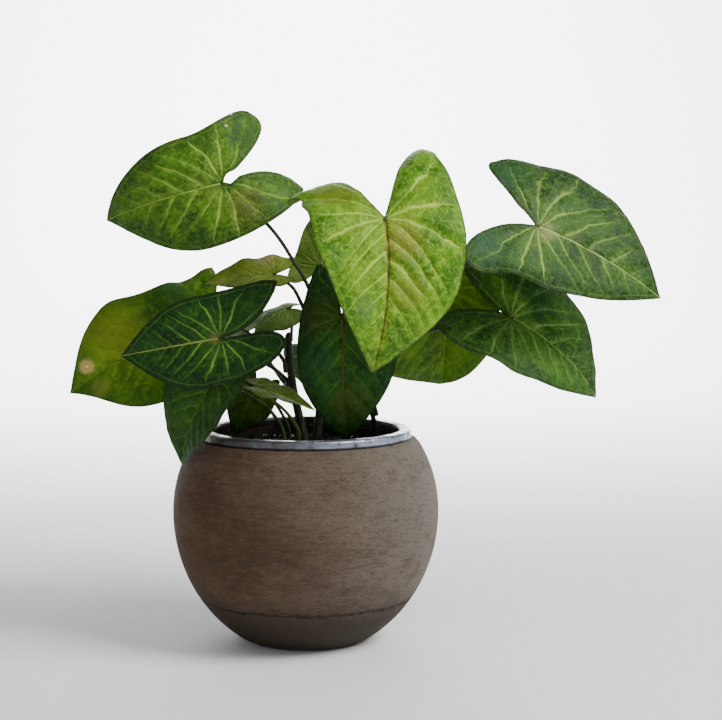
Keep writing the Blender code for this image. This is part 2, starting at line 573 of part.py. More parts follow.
LEAVES = {
    "leaf_top_left": dict(
        joint=(-49.3, -15, 277.5), heading=-175, pitch=-13, roll=-80, length=83,
        left=Half(36, 15, 54.5, spread=12, full=52, sinus=-18, lift=7, curl=-13),
        right=Half(32, 16, 51.5, spread=50, full=86, sinus=40, lift=7, curl=-8),
        droop=52, lobe_droop=44, twist=-24, wave=0.8,
        beside=("stem_centre", 182, -100), via=[(3, -9, 212), (-7, -10, 231), (-20, -3, 250), (-38, 1, 267)],
        arrive=72, colour=(0.09, 0.17, 0.05),
    ),
    "leaf_front": dict(
        joint=(45.3, -62, 256.4), heading=-77, pitch=-59, roll=-10, length=93,
        left=Half(46, 21, 61.5, spread=42, full=48, sinus=24, lift=30, curl=-24),
        right=Half(44, -4, 80, spread=27, full=84, sinus=38, lift=-8, curl=-9),
        droop=62, lobe_droop=50, twist=-22, wave=1.2,
        beside=("stem_centre", 196, 20), via=[(24, -16, 222), (37, -36, 240)],
        arrive=70, colour=(0.24, 0.36, 0.09),
    ),
    "leaf_right": dict(
        joint=(137.7, -25, 252.2), heading=3, pitch=-22, roll=53, length=92,
        left=Half(52, 14, 51.5, spread=47, full=99, sinus=38, lift=11, curl=-25),
        right=Half(39, -2, 58, spread=50, full=65, sinus=16, lift=6, curl=-22),
        droop=24, lobe_droop=4, twist=10, wave=1.0,
        beside=("stem_right", 168, -80), via=[(52, -2, 192), (76, 0, 212), (104, -4, 233)],
        arrive=62, colour=(0.09, 0.17, 0.08),
    ),
    "leaf_low_right": dict(
        joint=(125.6, 0, 196.1), heading=-1, pitch=-28, roll=50, length=81,
        left=Half(37.5, 10, 50, spread=33, full=62, sinus=3, lift=17, curl=-8),
        right=Half(35.5, 5, 51, spread=38, full=66, sinus=5, lift=7, curl=-13),
        droop=45, lobe_droop=11, twist=-3, wave=1.2,
        beside=("stem_right", 162, 0), via=[(54, 6, 178), (76, 9, 188), (100, 10, 191)],
        arrive=66, colour=(0.06, 0.13, 0.05),
    ),
    "leaf_low_middle": dict(
        joint=(88.5, 31, 210.5), heading=-98, pitch=-82, roll=-13, length=60,
        left=Half(33, 16, 41, spread=34, full=62, sinus=20, lift=12, curl=-4),
        right=Half(48, 40, 40, spread=36, full=62, sinus=20, lift=12, curl=8),
        tip_angle=80, droop=34, lobe_droop=12, twist=0, wave=1.2,
        beside=("stem_right", 134, 30), via=[(50, 36, 160), (66, 50, 188), (80, 47, 205)],
        arrive=70, colour=(0.09, 0.13, 0.035),
    ),
    "leaf_inner": dict(
        joint=(21.3, -38, 198.6), heading=-90, pitch=-76, roll=6, length=77,
        left=Half(34, 10, 50, spread=36, full=62, sinus=22, lift=14, curl=-12),
        right=Half(27, 22, 37, spread=24, full=50, sinus=8, lift=4, curl=-22),
        droop=46, lobe_droop=12, twist=-10, wave=1.0,
        beside=("stem_centre", 146, -75), via=[(13, -12, 178)],
        arrive=64, colour=(0.055, 0.10, 0.045),
    ),
    "leaf_behind": dict(
        joint=(10, 21, 228), heading=-40, pitch=74, roll=-40, length=50,
        left=Half(20, 8, 30, spread=50, full=62, sinus=20, lift=10, curl=-10),
        right=Half(17, 8, 24, spread=56, full=62, sinus=24, lift=6, curl=-10),
        droop=20, lobe_droop=50, twist=0, wave=0.8,
        beside=("stem_centre", 200, 90), via=[(9, 13, 217)], approach=5,
        arrive=50, sheath=5, colour=(0.17, 0.24, 0.05),
    ),
    "leaf_folded": dict(
        joint=(-19, -4, 223), heading=-170, pitch=-2, roll=-30, length=43,
        left=Half(20, 6, 15, spread=44, full=62, sinus=24, lift=14, curl=-10),
        right=Half(15, 6, 20, spread=44, full=62, sinus=24, lift=14, curl=6),
        droop=14, lobe_droop=10, twist=0, wave=1.2,
        beside=("stem_centre", 190, 178), via=[(-7, -1, 214)], approach=5,
        arrive=45, sheath=6, colour=(0.15, 0.17, 0.07),
    ),
    "leaf_large_left": dict(
        joint=(-75.5, 8, 183.8), heading=-159, pitch=-11, roll=-40, length=77,
        left=Half(39, 29, 53, spread=36, full=61, sinus=22, lift=6, curl=-13),
        right=Half(38, 28, 61, spread=51, full=44, sinus=20, lift=15, curl=-7),
        droop=40, lobe_droop=-12, twist=-17, wave=1.2,
        beside=("stem_left", 152, 150), via=[(-26, 14, 168), (-56, 18, 176)],
        arrive=50, colour=(0.15, 0.21, 0.035),
    ),
    "leaf_dark_left": dict(
        joint=(-49.5, -48, 187.8), heading=169, pitch=-10, roll=-82, length=63,
        left=Half(28, 11, 47, spread=14, full=60, sinus=4, lift=9, curl=-1),
        right=Half(27, 11, 48, spread=34, full=53, sinus=4, lift=11, curl=-30),
        droop=12, lobe_droop=-23, twist=-4, wave=1.0,
        beside=("stem_left", 164, -150), via=[(-24, -14, 184), (-38, -28, 187)],
        arrive=78, colour=(0.06, 0.12, 0.06),
    ),
    "leaf_over_rim": dict(
        joint=(-53.4, -42, 162.3), heading=172, pitch=-54, roll=-58, length=62,
        left=Half(24, 3, 27, spread=44, full=62, sinus=24, lift=14, curl=-7),
        right=Half(27, 9, 27, spread=44, full=62, sinus=24, lift=18, curl=-8),
        droop=44, lobe_droop=10, twist=2, wave=0.8,
        soil=(-13, -6), via=[(-15, -7, 131), (-24, -12, 144), (-38, -24, 154)],
        arrive=66, colour=(0.10, 0.17, 0.045),
    ),
    "leaf_in_mouth": dict(
        joint=(-31, 8, 151), heading=-168, pitch=-60, roll=-60, length=31,
        left=Half(16, 5, 17, spread=40, full=62, sinus=24, lift=8, curl=-8),
        right=Half(16, 5, 17, spread=40, full=62, sinus=24, lift=8, curl=-8),
        droop=25, lobe_droop=10, twist=0, wave=0.8,
        soil=(-10, 14), via=[(-12, 15, 131), (-20, 17, 144)],
        arrive=60, approach=6, stalk_radius=1.1, colour=(0.05, 0.07, 0.03),
    ),
    "leaf_young": dict(
        joint=(-10.5, -6, 202.5), heading=-160, pitch=-14, roll=-38, length=27,
        left=Half(12, 4, 13, spread=30, full=60, sinus=20, lift=-10, curl=-45),
        right=Half(11, 4, 13, spread=30, full=60, sinus=20, lift=-10, curl=-40),
        droop=60, lobe_droop=30, twist=0, wave=0.4,
        beside=("stem_left", 184, -60), via=[], approach=5,
        arrive=60, sheath=4, stalk_radius=1.1, colour=(0.22, 0.28, 0.16),
    ),
    "leaf_narrow": dict(
        joint=(-31, -36, 158.5), heading=-8, pitch=-13, roll=15, length=39.5,
        left=Half(13, 9, 10, spread=34, full=60, sinus=24, lift=12, curl=-10),
        right=Half(13, 9, 10, spread=34, full=55, sinus=20, lift=8, curl=-14),
        droop=16, lobe_droop=8, twist=-8, wave=0.8,
        soil=(-4, -16), via=[(-5, -17, 131), (-14, -22, 144), (-28, -30, 155)],
        arrive=-25, approach=7, stalk_radius=1.1, colour=(0.20, 0.24, 0.09),
    ),
    "leaf_back_right": dict(
        joint=(56, 72, 224), heading=62, pitch=-24, roll=4, length=70,
        left=Half(33, 9, 44, spread=36, full=62, sinus=18, lift=10, curl=-14),
        right=Half(33, 8, 45, spread=38, full=60, sinus=20, lift=12, curl=-12),
        droop=34, lobe_droop=10, twist=6, wave=1.3,
        beside=("stem_right", 144, 100), via=[(42, 34, 170), (46, 56, 204)],
        arrive=58, colour=(0.08, 0.15, 0.05),
    ),
    "leaf_back_left": dict(
        joint=(-44, 62, 190), heading=128, pitch=-22, roll=-4, length=66,
        left=Half(31, 8, 41, spread=37, full=62, sinus=18, lift=10, curl=-12),
        right=Half(31, 9, 42, spread=36, full=60, sinus=20, lift=9, curl=-15),
        droop=36, lobe_droop=10, twist=-5, wave=1.2,
        beside=("stem_left", 140, 100), via=[(-20, 24, 164), (-34, 46, 182)],
        arrive=58, colour=(0.08, 0.14, 0.045),
    ),
    "leaf_back_middle": dict(
        joint=(14, 58, 166), heading=84, pitch=-26, roll=2, length=60,
        left=Half(28, 8, 38, spread=36, full=62, sinus=18, lift=8, curl=-13),
        right=Half(28, 7, 38, spread=37, full=62, sinus=20, lift=10, curl=-10),
        droop=38, lobe_droop=8, twist=3, wave=1.1,
        beside=("stem_centre", 136, 80), via=[(10, 28, 152), (12, 46, 162)],
        arrive=58, colour=(0.07, 0.12, 0.04),
    ),
}


# Assembly


def cut_hole(soil, x, y, radius):
    """Cut one plain upright hole for a stem's foot."""
    steps = 12
    ring = [2.0 * math.pi * k / steps for k in range(steps)]
    verts = [(x + radius * math.cos(a), y + radius * math.sin(a), HOLE_FLOOR_Z) for a in ring]
    verts += [(x + radius * math.cos(a), y + radius * math.sin(a), 130.0) for a in ring]
    faces = [tuple(range(steps)), tuple(range(steps, 2 * steps))]
    for k in range(steps):
        m = (k + 1) % steps
        faces.append((k, m, m + steps, k + steps))
    cutter = add_object("hole_cutter", verts, faces, (0.5, 0.5, 0.5), 0.5)
    cutter.hide_render = True
    cutter.display_type = "WIRE"
    cut = soil.modifiers.new("hole", "BOOLEAN")
    cut.operation = "DIFFERENCE"
    cut.solver = "EXACT"
    cut.object = cutter
    bpy.context.view_layer.update()
    graph = bpy.context.evaluated_depsgraph_get()
    shape = bpy.data.meshes.new_from_object(soil.evaluated_get(graph))
    soil.modifiers.clear()
    old = soil.data
    soil.data = shape
    bpy.data.meshes.remove(old)
    finish = cutter.data.materials[0]
    bpy.data.objects.remove(cutter)
    bpy.data.materials.remove(finish)
    while len(soil.data.materials) > 1:
        soil.data.materials.pop(index=len(soil.data.materials) - 1)
    for polygon in soil.data.polygons:
        polygon.material_index = 0


def build():
    for old in list(bpy.data.objects):
        bpy.data.objects.remove(old, do_unlink=True)
    turned("pot", pot_profile(), POT_SIDES, (0.20, 0.165, 0.13), 0.8)
    turned("pot_lip_band", rim_profile(), POT_SIDES, (0.42, 0.44, 0.47), 0.38, 0.85)
    soil = turned("soil", soil_profile(), POT_SIDES, (0.012, 0.010, 0.008), 0.95)
    for name, stem in STEMS.items():
        path = stem_path(name)
        radii = np.linspace(*stem["radii"], len(path))
        verts, faces = tube(path, radii, STEM_SIDES)
        add_object(name, verts, faces, stem["colour"], 0.6)
        foot = stem["points"][0]
        cut_hole(soil, foot[0], foot[1], stem["radii"][0] + HOLE_GAP)
    for name, leaf in LEAVES.items():
        leaf_object(name, leaf)
        if "soil" in leaf:
            x, y = leaf["soil"]
            cut_hole(soil, x, y, leaf.get("stalk_radius", 1.3) + HOLE_GAP)
    face_outward(soil)


build()
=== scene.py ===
"""Looks of the potted arrowhead plant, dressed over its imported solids."""

import math
import random

import bpy
import numpy as np
from mathutils import Matrix, Vector, noise
from mathutils.geometry import delaunay_2d_cdt


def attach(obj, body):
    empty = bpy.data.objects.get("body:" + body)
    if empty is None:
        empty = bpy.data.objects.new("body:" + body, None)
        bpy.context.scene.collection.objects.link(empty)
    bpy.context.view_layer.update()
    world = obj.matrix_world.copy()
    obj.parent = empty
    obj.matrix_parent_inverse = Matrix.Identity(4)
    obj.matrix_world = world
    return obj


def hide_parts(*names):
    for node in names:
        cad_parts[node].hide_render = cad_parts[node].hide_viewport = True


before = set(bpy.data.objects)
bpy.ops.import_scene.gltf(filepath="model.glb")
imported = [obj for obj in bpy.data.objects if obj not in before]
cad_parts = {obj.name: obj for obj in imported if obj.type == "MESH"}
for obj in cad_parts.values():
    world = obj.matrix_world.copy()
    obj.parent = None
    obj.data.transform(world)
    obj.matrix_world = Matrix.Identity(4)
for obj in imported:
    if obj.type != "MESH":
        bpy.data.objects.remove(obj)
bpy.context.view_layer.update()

MM = 0.001

# Camera, worked out from the rim's and the base's ellipses

FRAME_WIDTH = 722
FOCAL_PIXELS = 1716.0
CAMERA_DISTANCE = 1040.0
CAMERA_HEIGHT = 260.0
CAMERA_YAW = math.atan(55.5 / FOCAL_PIXELS)
CAMERA_PITCH = math.radians(-4.90)

# Pot, band and soil in millimetres, the same sizes as the solids

POT_RADIUS = 81.0
POT_CENTRE_Z = 79.3
POT_UPPER_HALF_HEIGHT = 80.4
POT_LOWER_HALF_HEIGHT = 88.8
POT_BASE_EDGE = 1.6
POT_SHOULDER_Z = 122.4
POT_TOP_Z = 123.8
POT_MOUTH_RADIUS = 57.0
POT_INNER_LIP_Z = 119.0
POT_INNER_END_Z = 110.0
FOOT_LINE_Z = 28.0
FOOT_GROOVE = ((-1.0, 0.0), (-0.5, 0.3), (0.0, 0.5), (0.5, 0.3), (1.0, 0.05), (1.6, -0.05))
RIM_OUTER_RADIUS = 64.5
RIM_INNER_RADIUS = 57.0
RIM_BOTTOM_Z = 124.15
RIM_TOP_Z = 129.4
RIM_ROUNDING = 1.8
SOIL_GAP = 0.4
SOIL_SKIRT_Z = 111.0
SOIL_SIDE_Z = 117.0
SOIL_EDGE_Z = 118.4
SOIL_CROWN = 3.0

# Stems, stalks and blades: a stalk's foot sinks into its stem, and the notch stands behind the joint

STEM_FOOT_Z = 101.8
STEM_RING_SPACING = 14.0
STEM_TOP_TAPER = (0.92, 0.8, 0.62, 0.4)
STALK_SINK = 0.5
BLADE_THICKNESS = 0.5
JOINT_SETBACK = 0.02

# Fineness of the dressed pieces

OUTLINE_STEP = 1.1
INNER_STEP = 1.25
SLOPE_STEP = 0.05
CURVE_POINTS = 60
OUTLINE_CORNERS = (CURVE_POINTS - 1, 2 * CURVE_POINTS - 2)
POINTS_AT_ONCE = 2000
STALK_SIDES = 12
STALK_RINGS = 46
STEM_SIDES = 20
STEM_RINGS = 90
PLACES_ON_STEM = 120
DOME_SHARE = 0.35
TURN_STEPS = 144
WALL_STEPS = 46
RIM_STEPS = 10
SOIL_RINGS = 60
SMOOTH_BELOW = 55.0
MERGE_WITHIN = 0.00002

# Veins: their spacing as a share of the blade's length, their slant, and the fan at the lobes

LATERAL_SHARE = 0.175
LATERAL_SLANT = 0.80
BASAL_SPREAD = math.radians(29)


def camera():
    """Camera at the photograph's viewing angle."""
    data = bpy.data.cameras.new("photo_camera")
    obj = bpy.data.objects.new("photo_camera", data)
    bpy.context.scene.collection.objects.link(obj)
    cy, sy = math.cos(CAMERA_YAW), math.sin(CAMERA_YAW)
    cp, sp = math.cos(CAMERA_PITCH), math.sin(CAMERA_PITCH)
    ahead = Vector((sy * cp, cy * cp, sp))
    right = Vector((cy, -sy, 0.0))
    up = right.cross(ahead)
    place = Vector((0.0, -CAMERA_DISTANCE * MM, CAMERA_HEIGHT * MM))
    turn = Matrix((right, up, -ahead)).transposed()
    obj.matrix_world = Matrix.Translation(place) @ turn.to_4x4()
    data.sensor_width = 36.0
    data.lens = FOCAL_PIXELS / FRAME_WIDTH * 36.0
    data.clip_start = 0.02
    bpy.context.scene.camera = obj


# Shader maths


class Value:
    """One output socket of a material's nodes, with arithmetic."""

    def __init__(self, tree, socket):
        self.tree = tree
        self.socket = socket

    def math(self, operation, *others, clamp=False):
        made = self.tree.nodes.new("ShaderNodeMath")
        made.operation = operation
        made.use_clamp = clamp
        for slot, item in zip(made.inputs, (self, *others)):
            connect(self.tree, item, slot)
        return Value(self.tree, made.outputs[0])

    def reflected(self, operation, number):
        """The operation with a plain number in front."""
        made = node(self.tree, "ShaderNodeMath", {"operation": operation}, {0: number, 1: self})
        return Value(self.tree, made.outputs[0])

    def __add__(self, other):
        return self.math("ADD", other)

    __radd__ = __add__

    def __sub__(self, other):
        return self.math("SUBTRACT", other)

    def __rsub__(self, other):
        return self.reflected("SUBTRACT", other)

    def __mul__(self, other):
        return self.math("MULTIPLY", other)

    __rmul__ = __mul__

    def __truediv__(self, other):
        return self.math("DIVIDE", other)

    def clamp(self):
        return self.math("ADD", 0.0, clamp=True)

    def away_from_line(self):
        """Distance of a phase to its nearest whole number, 0 to 0.5."""
        return ((self + 0.5).math("FRACT") - 0.5).math("ABSOLUTE")

    def fade(self, low, high):
        """1 below low, 0 above high, smooth between."""
        return self.between(low, high, 1.0, 0.0)

    def between(self, low, high, start=0.0, end=1.0):
        """Start below low, end above high, smooth between."""
        settings = {"interpolation_type": "SMOOTHSTEP"}
        inputs = {0: self, 1: low, 2: high, 3: start, 4: end}
        made = node(self.tree, "ShaderNodeMapRange", settings, inputs)
        return Value(self.tree, made.outputs[0])


def connect(tree, item, slot):
    """Feed a value, colour or number to a socket."""
    if isinstance(item, Value):
        tree.links.new(item.socket, slot)
    elif isinstance(item, (tuple, list)) and len(item) == 3 and len(slot.default_value) == 4:
        slot.default_value = (*item, 1.0)
    else:
        slot.default_value = item


def node(tree, kind, settings, inputs):
    """Add a node: its settings first, then its sockets by name or index."""
    made = tree.nodes.new(kind)
    for key, setting in settings.items():
        setattr(made, key, setting)
    for key, item in inputs.items():
        connect(tree, item, made.inputs[key])
    return made


def blend(tree, share, first, second):
    """Colour between two colours."""
    made = node(tree, "ShaderNodeMix", {"data_type": "RGBA"}, {0: share, 6: first, 7: second})
    return Value(tree, made.outputs[2])


def layered(tree, colour, layers):
    """Colour with further colours laid over it, each by its share."""
    for share, above in layers:
        colour = blend(tree, share, colour, above)
    return colour


def moved(tree, vector, shift=(0.0, 0.0, 0.0), scale=(1.0, 1.0, 1.0)):
    made = node(tree, "ShaderNodeMapping", {}, {0: vector, 1: shift, 3: scale})
    return Value(tree, made.outputs[0])


def cloud(tree, vector, scale, detail=3.0, roughness=0.5, distortion=0.0):
    made = node(tree, "ShaderNodeTexNoise", {}, {
        0: vector, "Scale": scale, "Detail": detail, "Roughness": roughness, "Distortion": distortion})
    return Value(tree, made.outputs[0])


def cells(tree, vector, scale, feature="F1", randomness=1.0):
    inputs = {0: vector, "Scale": scale, "Randomness": randomness}
    return node(tree, "ShaderNodeTexVoronoi", {"feature": feature}, inputs)


def attribute(tree, name):
    made = node(tree, "ShaderNodeAttribute", {"attribute_name": name}, {})
    return Value(tree, made.outputs["Vector"])


def parts(tree, vector):
    made = node(tree, "ShaderNodeSeparateXYZ", {}, {0: vector})
    return [Value(tree, made.outputs[k]) for k in range(3)]


def away(x, y):
    """Distance from the middle of a plane."""
    return (x * x + y * y).math("SQRT")


def object_place(tree):
    made = node(tree, "ShaderNodeTexCoord", {}, {})
    return Value(tree, made.outputs["Object"])


def colour_cloud(tree, vector, scale, reach):
    """Small random shift vectors, for bending a pattern."""
    made = node(tree, "ShaderNodeTexNoise", {}, {0: vector, "Scale": scale, "Detail": 2.0})
    inputs = {0: Value(tree, made.outputs[1]), 1: (0.5, 0.5, 0.5)}
    centred = node(tree, "ShaderNodeVectorMath", {"operation": "SUBTRACT"}, inputs)
    inputs = {0: Value(tree, centred.outputs[0]), "Scale": reach}
    scaled = node(tree, "ShaderNodeVectorMath", {"operation": "SCALE"}, inputs)
    return Value(tree, scaled.outputs[0])


def surface(name, **fixed):
    """New material: its tree and shader, with the fixed values on the shader."""
    mat = bpy.data.materials.new(name)
    mat.use_nodes = True
    shader = mat.node_tree.nodes["Principled BSDF"]
    for key, item in fixed.items():
        shader.inputs[key.replace("_", " ")].default_value = item
    return mat, mat.node_tree, shader


def paint(tree, shader, colour, roughness):
    """Feed the shader its colour and its roughness."""
    connect(tree, colour, shader.inputs["Base Color"])
    connect(tree, roughness, shader.inputs["Roughness"])


def relief(tree, shader, height, distance, strength):
    """Bump the shader's normal by a height."""
    inputs = {"Strength": strength, "Distance": distance, "Height": height}
    made = node(tree, "ShaderNodeBump", {}, inputs)
    connect(tree, Value(tree, made.outputs[0]), shader.inputs["Normal"])


def tone(red, green, blue):
    """Linear colour from screen values out of 255."""
    return tuple(((max(c, 11) / 255.0 + 0.055) / 1.055) ** 2.4 for c in (red, green, blue))


# Leaf finishes

DARK_EDGE = tone(34, 34, 14)
DULL_UNDERSIDE = tone(72, 88, 48)
STREAK_GREEN = (0.10, 0.12, 0.045)


class BladePattern:
    """Masks of one blade: its clouds, veins, nets and feathering, from its flat places."""

    def __init__(self, tree, look, length):
        self.tree = tree
        self.length = length
        self.far = look["vein_reach"] * length
        flat = attribute(tree, "flat")
        self.x, self.y, self.margin = parts(tree, flat)
        phase, spacing, self.side = parts(tree, attribute(tree, "vein"))
        apart = (look["seed"] * 37.0, look["seed"] * 11.0, 0.0)
        self.place = moved(tree, flat, shift=apart, scale=(1.0, 1.0, 0.0))
        self.wobble = cloud(tree, self.place, 0.07, 2.0)
        self.ragged = cloud(tree, self.place, 0.42, 3.0, 0.55)
        self.broad = cloud(tree, self.place, 0.05, 2.0, 0.5, 0.6)
        self.mottled = cloud(tree, self.place, 0.16, 5.0, 0.62, 1.2)
        self.from_joint = away(self.x, self.y)
        self.from_rib = self.y.math("ABSOLUTE")
        bent_phase = phase + (self.wobble - 0.5) * 0.55
        self.from_lateral = bent_phase.away_from_line() * spacing
        self.from_between = (bent_phase + 0.5).away_from_line() * spacing
        self.draw_veins(look)
        self.draw_nets()
        self.draw_feathers(look["feather"])

    def draw_veins(self, look):
        """Midrib, lateral and basal veins, stout by the joint and fine by the margin."""
        margin, length = self.margin, self.length
        rib_width = (self.x / -length + 1.0).clamp() * 0.60 + 0.30
        self.rib = (self.from_rib / rib_width).fade(0.4, 1.1) * self.x.between(-1.5, 0.5)
        stout = margin.between(1.0, 20.0) * 0.55 + self.from_joint.fade(0.0, 0.7 * length) * 0.45 + 0.18
        stout = stout * (0.55 + self.ragged * 0.9) * look["vein_width"]
        lateral = (self.from_lateral / stout).fade(0.1, 1.6) * margin.between(0.6, 6.0)
        lateral = lateral * self.from_joint.between(0.15 * length, self.far, 1.0, 0.2)
        self.lateral = lateral * self.broad.between(0.34, 0.60, 0.35, 1.0)
        forked = self.from_between.fade(0.05, 0.60) * self.ragged.between(0.40, 0.62)
        self.forked = forked * margin.between(1.6, 9.0) * look["forks"] * 0.5
        from_edge_vein = (margin - 2.6 - (self.wobble - 0.5) * 1.6).math("ABSOLUTE")
        self.edge_vein = from_edge_vein.fade(0.05, 0.50) * 0.25

    def draw_nets(self):
        """Coarse and fine net of small veins."""
        shifts = colour_cloud(self.tree, self.place, 0.35, 2.2)
        inputs = {0: self.place, 1: shifts}
        bent_net = node(self.tree, "ShaderNodeVectorMath", {"operation": "ADD"}, inputs)
        vector = Value(self.tree, bent_net.outputs[0])
        coarse, fine = (
            Value(self.tree, cells(self.tree, vector, scale, "DISTANCE_TO_EDGE").outputs["Distance"])
            for scale in (0.24, 0.66)
        )
        self.net = coarse.fade(0.0, 0.14) * self.ragged.between(0.36, 0.62)
        self.fine_net = fine.fade(0.0, 0.16) * self.mottled.between(0.42, 0.62) * 0.7

    def draw_feathers(self, reach):
        """Pale zone beside the veins and round the joint."""
        frayed = self.ragged.between(0.32, 0.68)
        feather = self.from_lateral.fade(0.0, 5.0 * reach) * frayed
        feather = feather * self.from_joint.between(0.2 * self.length, self.far, 1.0, 0.3)
        rib_feather = self.from_rib.fade(0.0, 5.0 * reach) * frayed
        joint_glow = self.from_joint.fade(1.0, 0.3 * self.length)
        zone = feather * 0.75 + rib_feather * 0.6 + joint_glow * 0.5
        self.pale_zone = zone.clamp() * self.margin.between(2.0, 10.0)


def upper_colour(tree, look, blade):
    """The upper face: mottled greens, painted shade towards the margin, pale zones, veins, then the
    leaf's own marks.
    """
    deep, vein = look["deep"], look["vein"]
    strength, net = look["vein_strength"], look["net"]
    # Painted shade darkening towards the margin, with random darker mottling
    shade_and_mottle = blade.margin.fade(0.5, 0.17 * blade.length) * 0.75 + blade.mottled.fade(0.34, 0.52) * 0.45
    colour = blend(tree, blade.broad.between(0.32, 0.68), deep, look["green"])
    colour = layered(tree, colour, [
        (blade.mottled.between(0.48, 0.70) * look["mottle"], look["light"]),
        (shade_and_mottle.clamp() * look["edge_shade_and_mottle"], deep),
        (blade.pale_zone * look["variegation"], look["pale"]),
        (blade.net * net, vein),
        (blade.fine_net * net * 0.7, vein),
        ((blade.forked + blade.edge_vein).clamp() * strength * 0.8, vein),
        (blade.lateral * strength, vein),
        (blade.rib * look["rib_strength"], look.get("rib", vein)),
    ])

    # Blushes, spots and worn places, with a few patches of painted shadow, painted shade and painted
    # sheen, each at its place on the flat blade
    for px, py, radius, mark, amount in look["patches"]:
        gap = away(blade.x - px, blade.y - py) + (blade.mottled - 0.5) * radius * 1.2
        colour = blend(tree, gap.fade(0.25 * radius, radius) * amount, colour, mark)

    # Thin dark margin and pale specks
    rim_line = (blade.margin + (blade.ragged - 0.5) * 0.7).fade(0.25, 1.0)
    speck_cells = cells(tree, blade.place, 0.16)
    speck = Value(tree, speck_cells.outputs["Distance"]).fade(0.02, 0.055)
    chosen = parts(tree, Value(tree, speck_cells.outputs["Color"]))[0].between(0.72, 0.76)
    return layered(tree, colour, [
        (rim_line * look["edge"], DARK_EDGE),
        (speck * chosen * look["specks"], vein),
    ])


def under_colour(tree, look, blade):
    """The underside: paler and greyer, with its veins proud."""
    veins = blade.rib + blade.lateral * 0.6 + blade.net * 0.12
    colour = blend(tree, 0.5, look["light"], look["green"])
    return layered(tree, colour, [
        (veins.clamp() * 0.6, look["pale"]),
        (blade.mottled.between(0.45, 0.75) * 0.35, look["deep"]),
        (0.45, DULL_UNDERSIDE),
    ])


def leaf_finish(name, look, length):
    """Green blade with pale veins, feathered and netted, as the leaf's look says."""
    mat, tree, shader = surface(name + "_blade", IOR=1.42, Specular_IOR_Level=0.16)
    blade = BladePattern(tree, look, length)
    upper = upper_colour(tree, look, blade)
    under = under_colour(tree, look, blade)
    colour = blend(tree, blade.side.between(0.2, 0.5), under, upper)
    rough = 0.42 + blade.mottled * 0.14 + (1.0 - blade.side) * 0.18 + blade.lateral * 0.05
    paint(tree, shader, colour, rough)
    sunk = blade.rib + blade.lateral * 0.6 + blade.forked * 0.35
    sunk = sunk + blade.net * 0.22 + blade.fine_net * 0.12
    relief(tree, shader, blade.broad * 0.6 + blade.ragged * 0.15 - sunk, 0.0010, 0.9)
    return mat


def stalk_finish(name, dark, light):
    """Slim stalk or stem: dark green-brown with lengthwise streaks."""
    mat, tree, shader = surface(name, IOR=1.42, Specular_IOR_Level=0.35)
    place = object_place(tree)
    streaks = cloud(tree, moved(tree, place, scale=(900.0, 900.0, 90.0)), 1.0, 3.0)
    patches = cloud(tree, place, 70.0, 3.0, 0.6)
    colour = blend(tree, patches.between(0.35, 0.7), dark, light)
    colour = blend(tree, streaks.between(0.55, 0.8) * 0.4, colour, STREAK_GREEN)
    paint(tree, shader, colour, 0.42 + streaks * 0.25)
    relief(tree, shader, streaks, 0.0004, 0.5)
    return mat


# Flat blade, its veins and its bending


class Half:
    """One half of a blade: the same measures as its solid."""

    def __init__(self, width, belly, lobe, spread=36, full=62, sinus=20, lift=8, curl=-12):
        self.width = width
        self.belly = belly
        self.lobe = lobe
        self.spread = math.radians(spread)
        self.full = math.radians(full)
        self.sinus = math.radians(sinus)
        self.lift = math.radians(lift)
        self.curl = math.radians(curl)


def bezier(p0, p1, p2, p3, count):
    t = np.linspace(0.0, 1.0, count)[:, None]
    start = (1 - t) ** 3 * p0 + 3 * (1 - t) ** 2 * t * p1
    return start + 3 * (1 - t) * t * t * p2 + t ** 3 * p3


def half_outline(length, half, tip_angle):
    """Margin of one half from the tip, round the lobe, to the notch."""
    tip = np.array([length, 0.0])
    belly = np.array([half.belly, half.width])
    axis = np.array([-math.cos(half.spread), math.sin(half.spread)])
    end = half.lobe * axis
    notch = np.array([-JOINT_SETBACK * length, 0.0])
    tip_angle = math.radians(tip_angle)

    def turned_back(angle):
        c, s = math.cos(angle), math.sin(angle)
        return np.array([-axis[0] * c + axis[1] * s, -axis[0] * s - axis[1] * c])

    outward, inward = turned_back(half.full), turned_back(-half.full)
    if outward[1] < inward[1]:
        outward, inward = inward, outward
    front = np.linalg.norm(tip - belly)
    flank = np.linalg.norm(end - belly)
    from_tip = tip + 0.33 * front * np.array([-math.cos(tip_angle), math.sin(tip_angle)])
    to_belly = belly + np.array([0.42 * (length - half.belly), 0.0])
    pieces = [bezier(tip, from_tip, to_belly, belly, CURVE_POINTS)]
    off_belly = belly - np.array([0.40 * flank, 0.0])
    to_end = end + 0.315 * half.lobe * outward
    pieces.append(bezier(belly, off_belly, to_end, end, CURVE_POINTS)[1:])
    at_notch = notch + 0.35 * half.lobe * np.array([-math.cos(half.sinus), math.sin(half.sinus)])
    from_end = end + 0.315 * half.lobe * inward
    pieces.append(bezier(end, from_end, at_notch, notch, CURVE_POINTS)[1:])
    return np.vstack(pieces)


def resampled(curve, step, corners):
    """Points along a curve about one step apart, keeping the sharp corners."""
    lengths = path_lengths(curve)
    stops = [0.0] + [lengths[c] for c in corners] + [lengths[-1]]
    wanted = []
    for low, high in zip(stops, stops[1:]):
        count = max(2, int(round((high - low) / step)))
        wanted.extend(np.linspace(low, high, count, endpoint=False))
    wanted.append(lengths[-1])
    return np.stack([np.interp(wanted, lengths, curve[:, i]) for i in range(2)], axis=1)


